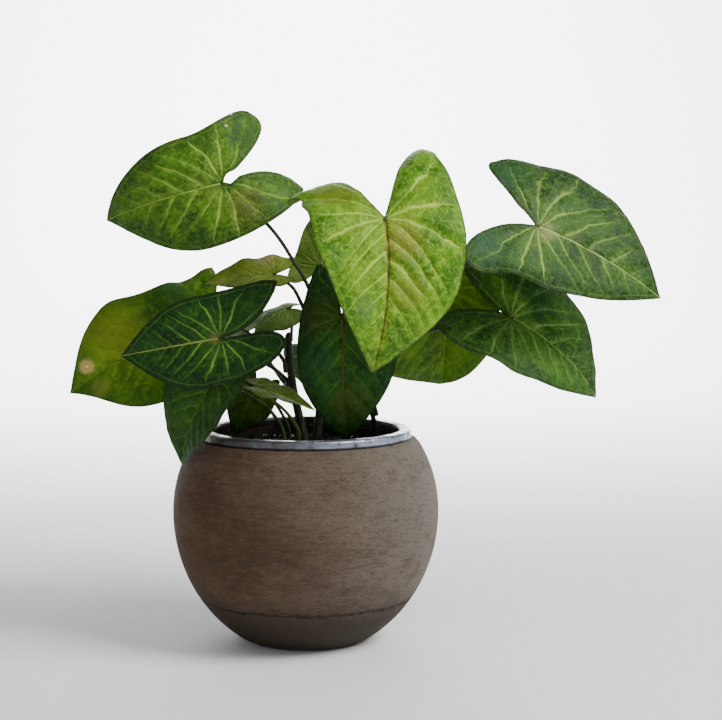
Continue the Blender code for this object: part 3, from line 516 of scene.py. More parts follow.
def margin_distance(points, loop):
    """Distance of each point to the outline, and whether it lies inside, some points at a time."""
    following = np.roll(loop, -1, axis=0)
    edge = following - loop
    length2 = np.maximum((edge * edge).sum(-1), 1e-9)
    rise = np.where(np.abs(edge[:, 1]) < 1e-12, 1e-12, edge[:, 1])
    gaps = np.empty(len(points))
    inside = np.empty(len(points), bool)
    for start in range(0, len(points), POINTS_AT_ONCE):
        some = slice(start, start + POINTS_AT_ONCE)
        chunk = points[some]
        away = chunk[:, None, :] - loop[None]
        t = np.clip((away * edge).sum(-1) / length2, 0.0, 1.0)
        gaps[some] = np.linalg.norm(away - t[..., None] * edge[None], axis=2).min(axis=1)
        above = loop[None, :, 1] > chunk[:, None, 1]
        next_above = following[None, :, 1] > chunk[:, None, 1]
        cross_x = loop[None, :, 0] + (chunk[:, None, 1] - loop[None, :, 1]) / rise * edge[None, :, 0]
        crossings = ((above != next_above) & (chunk[:, None, 0] < cross_x)).sum(axis=1)
        inside[some] = crossings % 2 == 1
    return gaps, inside


def nudged(loop, leaf):
    """Outline with its small bumps and notches: points near a place move off or towards it."""
    for x, y, reach, push in leaf["nudges"]:
        away = loop - np.array([x, y], float)
        gap = np.linalg.norm(away, axis=1)[:, None] + 1e-6
        step = np.maximum(push * np.exp(-(gap / reach) ** 2), -0.8 * gap)
        loop = loop + away / gap * step
    return loop


def flat_blade(leaf, outline_step, inner_step):
    """Triangulated flat blade, and each point's distance to the margin."""
    length = leaf["length"]
    left, right = (
        resampled(half_outline(length, leaf[side], leaf["tip_angle"]), outline_step, OUTLINE_CORNERS)
        for side in ("left", "right")
    )
    right = right * np.array([1.0, -1.0])
    loop = nudged(np.vstack([left, right[::-1][1:-1]]), leaf)
    midrib_count = max(4, int(round(length / inner_step)))
    xs = np.linspace(loop[len(left) - 1][0], loop[0][0], midrib_count + 1)[1:-1]
    midrib = np.stack([xs, np.zeros(midrib_count - 1)], axis=1)
    row_step = inner_step * math.sqrt(3.0) / 2.0
    low, high = loop.min(axis=0), loop.max(axis=0)
    lattice = []
    row = 1
    while row * row_step < max(-low[1], high[1]):
        shift = 0.5 * inner_step * (row % 2)
        xs = np.arange(low[0] - inner_step, high[0] + inner_step, inner_step) + shift
        for sign in (1.0, -1.0):
            lattice.append(np.stack([xs, np.full(len(xs), sign * row * row_step)], axis=1))
        row += 1
    lattice = np.vstack(lattice)
    gaps, inside = margin_distance(lattice, loop)
    lattice = lattice[inside & (gaps > 0.55 * min(outline_step, inner_step))]
    points = np.vstack([loop, midrib, lattice])
    count = len(loop)
    edges = [(k, (k + 1) % count) for k in range(count)]
    chain = [len(left) - 1] + list(range(count, count + len(midrib))) + [0]
    edges += list(zip(chain, chain[1:]))
    made = delaunay_2d_cdt([Vector(p) for p in points], edges, [list(range(count))], 1, 1e-5)
    flat = np.array([tuple(v) for v in made[0]])
    return flat, np.array([tuple(f) for f in made[2]], int), margin_distance(flat, loop)[0]


def vein_fields(flat, leaf):
    """Smooth phase whose whole numbers are veins, and the local spacing in millimetres."""
    x, y = flat[:, 0], flat[:, 1]
    reach = np.abs(y)
    width = np.where(y >= 0.0, leaf["left"].width, leaf["right"].width)
    spacing = leaf["vein_share"] * leaf["length"]
    run = x - LATERAL_SLANT * reach - 0.5 * reach ** 2 / width
    first = math.atan2(1.0, LATERAL_SLANT)
    radius = np.hypot(x, y)
    angle = np.arctan2(reach, x)
    bow = 0.22 * np.minimum(1.0, radius / (0.8 * width))
    basal = -(angle - first + bow) / BASAL_SPREAD
    ahead = run > 0.0
    offset = np.where(y >= 0.0, 0.0, 0.37)
    lateral = run / spacing
    phase = np.where(ahead, lateral + offset * np.minimum(1.0, lateral), np.minimum(basal, 0.0))
    local = np.where(ahead, 0.85 * spacing, np.maximum(0.8, BASAL_SPREAD * radius))
    return phase, local


def bent(flat, leaf):
    """Bend flat blade points: midrib arc, raised halves, rolled sides, twist and ripples."""
    x, y = flat[:, 0], flat[:, 1]
    length = leaf["length"]
    left, right = leaf["left"], leaf["right"]
    ahead = math.radians(leaf["droop"]) / length
    behind = math.radians(leaf["lobe_droop"]) / (0.5 * length)
    bend = np.where(x > 0.0, ahead, behind)
    bend = np.where(np.abs(bend) < 1e-7, 1e-7, bend)
    angle = bend * np.abs(x)
    mid_x = np.sin(angle) / bend * np.sign(x)
    mid_z = -(1.0 - np.cos(angle)) / bend
    slope = -angle * np.sign(x)
    side = np.where(y >= 0.0, 1.0, -1.0)
    lift = np.where(y >= 0.0, left.lift, right.lift)
    curl = np.where(y >= 0.0, left.curl, right.curl) / (0.45 * length)
    curl = np.where(np.abs(curl) < 1e-7, 1e-7, curl)
    reach = np.abs(y)
    out = (np.sin(lift + curl * reach) - np.sin(lift)) / curl
    rise = -(np.cos(lift + curl * reach) - np.cos(lift)) / curl
    width = np.where(y >= 0.0, left.width, right.width)
    wave = leaf["wave"] * np.minimum(1.5, (reach / width)) ** 2
    phase = np.where(y >= 0.0, 0.0, 1.9)
    rise = rise + wave * np.sin(2.0 * math.pi * x / (0.42 * length) + phase)
    twist = math.radians(leaf["twist"]) * x / length
    across = out * side * np.cos(twist) - rise * np.sin(twist)
    up = out * side * np.sin(twist) + rise * np.cos(twist)
    return np.stack([mid_x - np.sin(slope) * up, across, mid_z + np.cos(slope) * up], axis=1)


def leaf_axes(leaf):
    """Directions of the tip, the left side and the upper face."""
    heading, pitch, roll = (math.radians(leaf[k]) for k in ("heading", "pitch", "roll"))
    level_part = math.cos(pitch)
    tip = np.array([level_part * math.cos(heading), level_part * math.sin(heading), math.sin(pitch)])
    level = np.array([-math.sin(heading), math.cos(heading), 0.0])
    left = level * math.cos(roll) + np.cross(tip, level) * math.sin(roll)
    return tip, left, np.cross(tip, left)


def placed(local, leaf):
    tip, left, upper = leaf_axes(leaf)
    origin = np.array(leaf["joint"], float)
    return origin + local[:, [0]] * tip + local[:, [1]] * left + local[:, [2]] * upper


def flat_noise(flat, scale, layer):
    return np.array([noise.noise(Vector((p[0] * scale, p[1] * scale, layer))) for p in flat])


def quilting(flat, leaf, phase, spacing, margin):
    """Height of the blade's pillows between its sunken veins."""
    near = np.abs((phase + 0.5) % 1.0 - 0.5) * spacing
    pillow = 1.0 - np.exp(-(near / 2.6) ** 2)
    rib = np.exp(-(flat[:, 1] / 1.6) ** 2)
    inner = np.clip((margin - 0.5) / 5.0, 0.0, 1.0)
    room = np.clip(spacing / 8.0, 0.0, 1.0)
    waver = flat_noise(flat, 0.11, leaf["length"])
    small = flat_noise(flat, 0.33, 7.0)
    return leaf["quilt"] * inner * (pillow * room - rib * 0.8) + 0.6 * waver + 0.14 * small


def blade_mesh(leaf):
    """Vertices, triangles and surface attributes of the finished blade."""
    flat, faces, margin = flat_blade(leaf, OUTLINE_STEP, INNER_STEP)
    phase, spacing = vein_fields(flat, leaf)
    middle = bent(flat, leaf)
    along, across = (
        bent(flat + step, leaf) - bent(flat - step, leaf)
        for step in (np.array([SLOPE_STEP, 0.0]), np.array([0.0, SLOPE_STEP]))
    )
    normal = np.cross(along, across)
    normal = normal / np.linalg.norm(normal, axis=1)[:, None]
    middle = middle + normal * quilting(flat, leaf, phase, spacing, margin)[:, None]
    thin = 0.5 * BLADE_THICKNESS * np.clip(0.45 + margin / 2.0, 0.0, 1.0)[:, None]
    taper = np.clip(1.0 - flat[:, 0] / leaf["length"], 0.0, 1.0)
    rib = 0.35 * np.exp(-(flat[:, 1] / 0.9) ** 2) * taper
    rib = np.where(flat[:, 0] > -2.0, rib, 0.0)[:, None]
    top = placed(middle + thin * normal, leaf)
    bottom = placed(middle - (thin + rib) * normal, leaf)
    count = len(flat)
    a, b, c = (flat[faces[:, k]] for k in range(3))
    turn = (b[:, 0] - a[:, 0]) * (c[:, 1] - a[:, 1]) - (b[:, 1] - a[:, 1]) * (c[:, 0] - a[:, 0])
    faces[turn < 0.0] = faces[turn < 0.0][:, ::-1]
    edges = np.vstack([faces[:, [0, 1]], faces[:, [1, 2]], faces[:, [2, 0]]])
    keys = set(map(tuple, edges.tolist()))
    wall = [(b, a) for a, b in keys if (b, a) not in keys]
    wall_faces = [(b, a, a + count) for b, a in wall] + [(b, a + count, b + count) for b, a in wall]
    triangles = np.vstack([faces, faces[:, ::-1] + count, np.array(wall_faces, int)])
    flats = np.column_stack([flat, margin])
    veins = [np.column_stack([phase, spacing, side]) for side in (np.ones(count), np.zeros(count))]
    return np.vstack([top, bottom]), triangles, np.vstack([flats, flats]), np.vstack(veins)


# Tubes for stems and stalks


def path_lengths(path):
    """Length along a path at each of its points."""
    return np.concatenate([[0.0], np.cumsum(np.linalg.norm(np.diff(path, axis=0), axis=1))])


def smooth_path(points, count):
    """Even samples of a Catmull-Rom curve through the given points."""
    pts = [np.array(p, float) for p in points]
    ends = [2.0 * pts[0] - pts[1]] + pts + [2.0 * pts[-1] - pts[-2]]
    dense = []
    for k in range(1, len(ends) - 2):
        a, b, c, d = ends[k - 1], ends[k], ends[k + 1], ends[k + 2]
        for t in np.linspace(0.0, 1.0, 24, endpoint=False):
            value = 2.0 * b + (c - a) * t + (2.0 * a - 5.0 * b + 4.0 * c - d) * t ** 2
            value = value + (3.0 * b - a - 3.0 * c + d) * t ** 3
            dense.append(0.5 * value)
    dense.append(pts[-1])
    dense = np.array(dense)
    lengths = path_lengths(dense)
    wanted = np.linspace(0.0, lengths[-1], count)
    return np.stack([np.interp(wanted, lengths, dense[:, i]) for i in range(3)], axis=1)


def tube(path, radii, sides):
    """Closed tube round a path, with domed ends."""
    tangents = np.gradient(path, axis=0)
    tangents = tangents / np.linalg.norm(tangents, axis=1)[:, None]
    helper = np.array([0.0, 1.0, 0.0]) if abs(tangents[0][1]) < 0.8 else np.array([1.0, 0.0, 0.0])
    across = np.cross(tangents[0], helper)
    across = across / np.linalg.norm(across)
    verts = []
    for point, tangent, radius in zip(path, tangents, radii):
        across = across - tangent * np.dot(across, tangent)
        across = across / np.linalg.norm(across)
        other = np.cross(tangent, across)
        for k in range(sides):
            angle = 2.0 * math.pi * k / sides
            verts.append(point + radius * (math.cos(angle) * across + math.sin(angle) * other))
    faces = []
    for ring in range(len(path) - 1):
        for k in range(sides):
            m = (k + 1) % sides
            low, high = ring * sides, (ring + 1) * sides
            faces.append((low + k, low + m, high + m))
            faces.append((low + k, high + m, high + k))
    last = (len(path) - 1) * sides
    verts.append(path[0] - tangents[0] * radii[0] * DOME_SHARE)
    verts.append(path[-1] + tangents[-1] * radii[-1] * DOME_SHARE)
    for k in range(sides):
        m = (k + 1) % sides
        faces.append((m, k, len(verts) - 2))
        faces.append((last + k, last + m, len(verts) - 1))
    return np.array(verts), np.array(faces, int)


def upright(x, y):
    """A stem's first places, straight up out of the soil."""
    return [(x, y, STEM_FOOT_Z), (x, y, 112), (x, y, 122)]


STEMS = {
    "stem_centre": dict(
        points=upright(7, 12) + [(9, 12, 150), (7, 6, 182), (4, 0, 206)],
        radii=(2.7, 2.2),
    ),
    "stem_left": dict(
        points=upright(-1, 2) + [(-7, 1, 150), (-10, -1, 172), (-10.5, -4, 188)],
        radii=(2.8, 2.3),
    ),
    "stem_right": dict(
        points=upright(44, 22) + [(41, 18, 137), (37, 10, 156), (37, 5, 176)],
        radii=(1.6, 1.5),
    ),
}


def stem_place(name, height, toward):
    """Where a stalk's foot stands beside a stem, and the stem's direction there."""
    path = smooth_path(STEMS[name]["points"], PLACES_ON_STEM)
    radii = np.linspace(*STEMS[name]["radii"], PLACES_ON_STEM)
    index = int(np.argmin(np.abs(path[:, 2] - height)))
    tangent = path[min(index + 1, PLACES_ON_STEM - 1)] - path[max(index - 1, 0)]
    tangent = tangent / np.linalg.norm(tangent)
    toward = math.radians(toward)
    aside = np.array([math.cos(toward), math.sin(toward), 0.0])
    aside = aside - tangent * np.dot(aside, tangent)
    aside = aside / np.linalg.norm(aside)
    return path[index], radii[index], tangent, aside


def stalk_path(leaf, count):
    """Stalk from its foot, past its bends, up to the leaf's joint from below."""
    tip, _, upper = leaf_axes(leaf)
    joint = np.array(leaf["joint"], float)
    slant = math.radians(leaf["arrive"])
    arrive = tip * math.cos(slant) + upper * math.sin(slant)
    if "soil" in leaf:
        x, y = leaf["soil"]
        points = [np.array([x, y, z]) for z in (STEM_FOOT_Z, 114.0, 122.0)]
    else:
        stem, height, toward = leaf["beside"]
        centre, stem_radius, along, aside = stem_place(stem, height, toward)
        foot = centre + aside * (stem_radius + leaf["stalk_radius"] - STALK_SINK)
        rise = leaf["sheath"]
        points = [foot, foot + along * rise * 0.5 + aside * 0.15, foot + along * rise + aside * 0.8]
    points += [np.array(p, float) for p in leaf["via"]]
    near = leaf["approach"]
    points += [joint - arrive * near, joint - arrive * 0.45 * near, joint + upper * 0.25 + tip * 0.4]
    return smooth_path(points, count)


# The leaves, named by where they stand, with the same measures as their solids


def grown(**measures):
    """A leaf's measures, over what most leaves share."""
    shared = dict(
        tip_angle=38, vein_share=LATERAL_SHARE, quilt=0.75, nudges=(),
        via=(), arrive=60, approach=9.0, sheath=8.0, stalk_radius=1.3,
    )
    return {**shared, **measures}


LEAVES = {
    "leaf_top_left": grown(
        nudges=[(-6, -1.5, 4.5, 2.6), (-35, -42, 4, 1.6), (-32, -32, 4.5, 1.8)],
        joint=(-49.3, -15, 277.5), heading=-175, pitch=-13, roll=-80, length=83,
        left=Half(36, 15, 54.5, spread=12, full=52, sinus=-18, lift=7, curl=-13),
        right=Half(32, 16, 51.5, spread=50, full=86, sinus=40, lift=7, curl=-8),
        droop=52, lobe_droop=44, twist=-24, wave=0.8,
        beside=("stem_centre", 182, -100), arrive=72,
        via=[(3, -9, 212), (-7, -10, 231), (-20, -3, 250), (-38, 1, 267)],
    ),
    "leaf_front": grown(
        nudges=[(-41, 40, 8, 3.0), (-29, -51, 8, 4.0), (-40, -38, 3.5, 1.4)],
        quilt=1.35, vein_share=0.125,
        joint=(45.3, -62, 256.4), heading=-77, pitch=-59, roll=-10, length=93,
        left=Half(46, 21, 61.5, spread=42, full=48, sinus=24, lift=30, curl=-24),
        right=Half(44, -4, 80, spread=27, full=84, sinus=38, lift=-8, curl=-9),
        droop=62, lobe_droop=50, twist=-22, wave=1.2,
        beside=("stem_centre", 196, 20), via=[(24, -16, 222), (37, -36, 240)], arrive=70,
    ),
    "leaf_right": grown(
        nudges=[(-13, 13, 5, 1.6), (-14, -14, 6, 1.4), (-22, 20, 4, -0.8)],
        joint=(137.7, -25, 252.2), heading=3, pitch=-22, roll=53, length=92,
        left=Half(52, 14, 51.5, spread=47, full=99, sinus=38, lift=11, curl=-25),
        right=Half(39, -2, 58, spread=50, full=65, sinus=16, lift=6, curl=-22),
        droop=24, lobe_droop=4, twist=10, wave=1.0,
        beside=("stem_right", 168, -80), via=[(52, -2, 192), (76, 0, 212), (104, -4, 233)], arrive=62,
    ),
    "leaf_low_right": grown(
        nudges=[(-6, 0.6, 6, -2.5), (-11, 0.8, 6, -2.5)],
        joint=(125.6, 0, 196.1), heading=-1, pitch=-28, roll=50, length=81,
        left=Half(37.5, 10, 50, spread=33, full=62, sinus=3, lift=17, curl=-8),
        right=Half(35.5, 5, 51, spread=38, full=66, sinus=5, lift=7, curl=-13),
        droop=45, lobe_droop=11, twist=-3, wave=1.2,
        beside=("stem_right", 162, 0), via=[(54, 6, 178), (76, 9, 188), (100, 10, 191)], arrive=66,
    ),
    "leaf_low_middle": grown(
        nudges=[(56, -1, 2.8, 2.6)],
        joint=(88.5, 31, 210.5), heading=-98, pitch=-82, roll=-13, length=60,
        left=Half(33, 16, 41, spread=34, full=62, sinus=20, lift=12, curl=-4),
        right=Half(48, 40, 40, spread=36, full=62, sinus=20, lift=12, curl=8),
        tip_angle=80, droop=34, lobe_droop=12, twist=0, wave=1.2,
        beside=("stem_right", 134, 30), via=[(50, 36, 160), (66, 50, 188), (80, 47, 205)], arrive=70,
    ),
    "leaf_inner": grown(
        joint=(21.3, -38, 198.6), heading=-90, pitch=-76, roll=6, length=77,
        left=Half(34, 10, 50, spread=36, full=62, sinus=22, lift=14, curl=-12),
        right=Half(27, 22, 37, spread=24, full=50, sinus=8, lift=4, curl=-22),
        droop=46, lobe_droop=12, twist=-10, wave=1.0,
        beside=("stem_centre", 146, -75), via=[(13, -12, 178)], arrive=64,
    ),
    "leaf_behind": grown(
        joint=(10, 21, 228), heading=-40, pitch=74, roll=-40, length=50,
        left=Half(20, 8, 30, spread=50, full=62, sinus=20, lift=10, curl=-10),
        right=Half(17, 8, 24, spread=56, full=62, sinus=24, lift=6, curl=-10),
        droop=20, lobe_droop=50, twist=0, wave=0.8,
        beside=("stem_centre", 200, 90), via=[(9, 13, 217)], approach=5,
        arrive=50, sheath=5,
    ),
    "leaf_folded": grown(
        joint=(-19, -4, 223), heading=-170, pitch=-2, roll=-30, length=43,
        left=Half(20, 6, 15, spread=44, full=62, sinus=24, lift=14, curl=-10),
        right=Half(15, 6, 20, spread=44, full=62, sinus=24, lift=14, curl=6),
        droop=14, lobe_droop=10, twist=0, wave=1.2,
        beside=("stem_centre", 190, 178), via=[(-7, -1, 214)], approach=5,
        arrive=45, sheath=6,
    ),
    "leaf_large_left": grown(
        nudges=[(66, -24, 4, 0.9)],
        joint=(-75.5, 8, 183.8), heading=-159, pitch=-11, roll=-40, length=77,
        left=Half(39, 29, 53, spread=36, full=61, sinus=22, lift=6, curl=-13),
        right=Half(38, 28, 61, spread=51, full=44, sinus=20, lift=15, curl=-7),
        droop=40, lobe_droop=-12, twist=-17, wave=1.2,
        beside=("stem_left", 152, 150), via=[(-26, 14, 168), (-56, 18, 176)], arrive=50,
    ),
    "leaf_dark_left": grown(
        joint=(-49.5, -48, 187.8), heading=169, pitch=-10, roll=-82, length=63,
        left=Half(28, 11, 47, spread=14, full=60, sinus=4, lift=9, curl=-1),
        right=Half(27, 11, 48, spread=34, full=53, sinus=4, lift=11, curl=-30),
        droop=12, lobe_droop=-23, twist=-4, wave=1.0,
        beside=("stem_left", 164, -150), via=[(-24, -14, 184), (-38, -28, 187)], arrive=78,
    ),
    "leaf_over_rim": grown(
        nudges=[(43, -12, 3, 1.0)],
        joint=(-53.4, -42, 162.3), heading=172, pitch=-54, roll=-58, length=62,
        left=Half(24, 3, 27, spread=44, full=62, sinus=24, lift=14, curl=-7),
        right=Half(27, 9, 27, spread=44, full=62, sinus=24, lift=18, curl=-8),
        droop=44, lobe_droop=10, twist=2, wave=0.8,
        soil=(-13, -6), via=[(-15, -7, 131), (-24, -12, 144), (-38, -24, 154)], arrive=66,
    ),
    "leaf_in_mouth": grown(
        joint=(-31, 8, 151), heading=-168, pitch=-60, roll=-60, length=31,
        left=Half(16, 5, 17, spread=40, full=62, sinus=24, lift=8, curl=-8),
        right=Half(16, 5, 17, spread=40, full=62, sinus=24, lift=8, curl=-8),
        droop=25, lobe_droop=10, twist=0, wave=0.8,
        soil=(-10, 14), via=[(-12, 15, 131), (-20, 17, 144)],
        arrive=60, approach=6, stalk_radius=1.1,
    ),
    "leaf_young": grown(
        joint=(-10.5, -6, 202.5), heading=-160, pitch=-14, roll=-38, length=27,
        left=Half(12, 4, 13, spread=30, full=60, sinus=20, lift=-10, curl=-45),
        right=Half(11, 4, 13, spread=30, full=60, sinus=20, lift=-10, curl=-40),
        droop=60, lobe_droop=30, twist=0, wave=0.4,
        beside=("stem_left", 184, -60), approach=5,
        arrive=60, sheath=4, stalk_radius=1.1,
    ),
    "leaf_narrow": grown(
        joint=(-31, -36, 158.5), heading=-8, pitch=-13, roll=15, length=39.5,
        left=Half(13, 9, 10, spread=34, full=60, sinus=24, lift=12, curl=-10),
        right=Half(13, 9, 10, spread=34, full=55, sinus=20, lift=8, curl=-14),
        droop=16, lobe_droop=8, twist=-8, wave=0.8,
        soil=(-4, -16), via=[(-5, -17, 131), (-14, -22, 144), (-28, -30, 155)],
        arrive=-25, approach=7, stalk_radius=1.1,
    ),
    "leaf_back_right": grown(
        joint=(56, 72, 224), heading=62, pitch=-24, roll=4, length=70,
        left=Half(33, 9, 44, spread=36, full=62, sinus=18, lift=10, curl=-14),
        right=Half(33, 8, 45, spread=38, full=60, sinus=20, lift=12, curl=-12),
        droop=34, lobe_droop=10, twist=6, wave=1.3,
        beside=("stem_right", 144, 100), via=[(42, 34, 170), (46, 56, 204)], arrive=58,
    ),
    "leaf_back_left": grown(
        joint=(-44, 62, 190), heading=128, pitch=-22, roll=-4, length=66,
        left=Half(31, 8, 41, spread=37, full=62, sinus=18, lift=10, curl=-12),
        right=Half(31, 9, 42, spread=36, full=60, sinus=20, lift=9, curl=-15),
        droop=36, lobe_droop=10, twist=-5, wave=1.2,
        beside=("stem_left", 140, 100), via=[(-20, 24, 164), (-34, 46, 182)], arrive=58,
    ),
    "leaf_back_middle": grown(
        joint=(14, 58, 166), heading=84, pitch=-26, roll=2, length=60,
        left=Half(28, 8, 38, spread=36, full=62, sinus=18, lift=8, curl=-13),
        right=Half(28, 7, 38, spread=37, full=62, sinus=20, lift=10, curl=-10),
        droop=38, lobe_droop=8, twist=3, wave=1.1,
        beside=("stem_centre", 136, 80), via=[(10, 28, 152), (12, 46, 162)], arrive=58,
    ),
}


# Colours and marks of each leaf

DULL_BROWN = tone(86, 74, 28)
CREAM_SPOT = tone(232, 232, 170)

# Each leaf's own green from deep to light, its pale markings and its veins, as screen colours

SHADE_NAMES = ("deep", "green", "light", "pale", "vein")
SHADES = {
    "leaf_top_left": ((28, 62, 11), (61, 103, 11), (92, 132, 26), (126, 162, 52), (146, 177, 72)),
    "leaf_front": ((45, 92, 11), (84, 128, 11), (118, 157, 25), (141, 177, 46), (177, 203, 83)),
    "leaf_right": ((16, 47, 11), (38, 77, 17), (65, 101, 30), (103, 136, 55), (138, 163, 88)),
    "leaf_low_right": ((16, 49, 11), (51, 93, 16), (77, 120, 33), (109, 153, 61), (129, 164, 76)),
    "leaf_low_middle": ((46, 83, 11), (75, 112, 11), (97, 134, 19), (121, 157, 39), (131, 164, 54)),
    "leaf_inner": ((11, 40, 11), (20, 70, 11), (40, 93, 11), (61, 115, 22), (82, 125, 36)),
    "leaf_behind": ((68, 94, 14), (89, 119, 24), (108, 138, 44), (127, 156, 65), (135, 161, 75)),
    "leaf_folded": ((77, 95, 18), (104, 118, 31), (122, 138, 51), (141, 157, 73), (147, 162, 86)),
    "leaf_large_left": ((39, 77, 11), (76, 111, 11), (97, 129, 13), (115, 147, 30), (122, 150, 44)),
    "leaf_dark_left": ((12, 39, 11), (20, 62, 11), (43, 88, 13), (83, 132, 35), (119, 163, 62)),
    "leaf_over_rim": ((16, 49, 11), (35, 70, 11), (50, 89, 11), (71, 112, 24), (89, 125, 40)),
    "leaf_in_mouth": ((41, 71, 11), (61, 91, 11), (81, 117, 19), (109, 145, 37), (111, 141, 45)),
    "leaf_young": ((76, 102, 36), (100, 128, 54), (118, 146, 73), (142, 168, 96), (149, 170, 104)),
    "leaf_narrow": ((74, 103, 18), (100, 131, 32), (121, 150, 47), (142, 170, 67), (149, 173, 82)),
    "leaf_back_right": ((33, 70, 13), (59, 102, 23), (88, 131, 42), (125, 162, 72), (144, 179, 89)),
    "leaf_back_left": ((31, 67, 11), (56, 97, 20), (81, 123, 36), (117, 155, 66), (137, 171, 83)),
    "leaf_back_middle": ((27, 61, 11), (49, 89, 18), (76, 114, 35), (110, 147, 63), (128, 161, 78)),
}

GREEN_STALKED = ("leaf_narrow", "leaf_over_rim", "leaf_young")

# Marks of each leaf; a patch is its place on the flat blade, its radius, its colour and its strength

MARKS = {
    "leaf_top_left": dict(
        variegation=0.5, vein_strength=0.75, feather=1.2, patches=[
            (-10, 17, 15, DULL_BROWN, 0.45), (-20, -24, 15, tone(30, 62, 12), 0.55),
            (-16, -41, 1.5, CREAM_SPOT, 0.95), (-10, -33, 1.3, CREAM_SPOT, 0.9),
        ],
    ),
    "leaf_front": dict(
        variegation=0.55, vein_strength=0.8, forks=0.9, edge_shade_and_mottle=0.55,
        rib=tone(112, 76, 42), net=0.24, patches=[
            (14, 8, 15, tone(138, 118, 50), 0.45), (42, 11, 14, tone(128, 120, 44), 0.35),
            # The second patch on this line, olive-brown on the lobe, is partly the leaf's own browner
            # tone and partly painted shade where the lobe's strip bends back
            (53, -13, 10, tone(80, 118, 62), 0.45), (-23, -24, 19, tone(96, 100, 22), 0.6),
            (62, 34, 16, tone(132, 178, 40), 0.5),
        ],
    ),
    "leaf_right": dict(
        variegation=0.55, vein_strength=0.85, feather=1.1, rib=tone(168, 180, 120), patches=[
            (-26, -29, 18, tone(34, 78, 48), 0.6), (-25, 30, 17, tone(26, 66, 32), 0.7),
            (6, -2, 9, tone(170, 176, 108), 0.35),
        ],
    ),
    "leaf_low_right": dict(
        variegation=0.45, vein_strength=0.7, feather=1.2, patches=[
            # The dark patch on the left lobe is painted shadow, where the leaf above shades it
            (11, 22, 18, tone(24, 66, 36), 0.55),
        ],
    ),
    "leaf_low_middle": dict(variegation=0.35, vein_strength=0.5),
    "leaf_inner": dict(
        variegation=0.3, vein_strength=0.55, rib=tone(104, 84, 44), patches=[
            # The first patch on this line, in teal, is a painted sheen
            (22, -15, 16, tone(30, 74, 40), 0.4), (49, 4, 18, tone(58, 62, 14), 0.5),
            (-2, -12, 17, tone(56, 60, 14), 0.5), (12, 12, 15, tone(48, 58, 14), 0.4),
        ],
    ),
    "leaf_behind": dict(variegation=0.3, vein_strength=0.4),
    "leaf_folded": dict(
        variegation=0.3, vein_strength=0.35, patches=[
            (5, -14, 9, tone(150, 132, 98), 0.6), (22, -3, 11, tone(74, 88, 22), 0.5),
        ],
    ),
    "leaf_large_left": dict(
        variegation=0.25, vein_strength=0.4, patches=[
            (36, -16, 26, tone(104, 108, 18), 0.55), (-6, -26, 26, tone(30, 66, 12), 0.7),
            (59, -7, 6, tone(188, 160, 96), 0.85), (59, -7, 3.2, tone(122, 92, 40), 0.7),
            (59, -7, 1.6, tone(206, 184, 130), 0.8), (58, 10, 9, tone(128, 128, 50), 0.4),
        ],
    ),
    "leaf_dark_left": dict(
        variegation=0.5, vein_strength=1.0, feather=0.55, vein_reach=0.72, vein_width=0.75,
        rib=tone(158, 168, 88), net=0.06, forks=0.35, patches=[
            (3, 0, 5, tone(120, 112, 56), 0.5),
        ],
    ),
    "leaf_over_rim": dict(variegation=0.35, vein_strength=0.5),
    "leaf_in_mouth": dict(variegation=0.3, vein_strength=0.4),
    "leaf_young": dict(variegation=0.3, vein_strength=0.4),
    "leaf_narrow": dict(variegation=0.35, vein_strength=0.5),
    "leaf_back_right": dict(variegation=0.5, vein_strength=0.75),
    "leaf_back_left": dict(variegation=0.5, vein_strength=0.75),
    "leaf_back_middle": dict(variegation=0.45, vein_strength=0.7),
}


def leaf_look(name):
    """Colours and marks of a leaf, over what most leaves share."""
    shared = dict(
        seed=1 + list(SHADES).index(name), mottle=0.7, edge_shade_and_mottle=0.8, net=0.14, rib_strength=0.85,
        feather=1.0, vein_reach=1.0, vein_width=1.0, forks=0.8, edge=0.8, specks=0.5, patches=(),
    )
    shades = {key: tone(*shade) for key, shade in zip(SHADE_NAMES, SHADES[name])}
    return {**shared, **shades, **MARKS[name]}


# Finishes of the pot, its band, the soil and the perlite


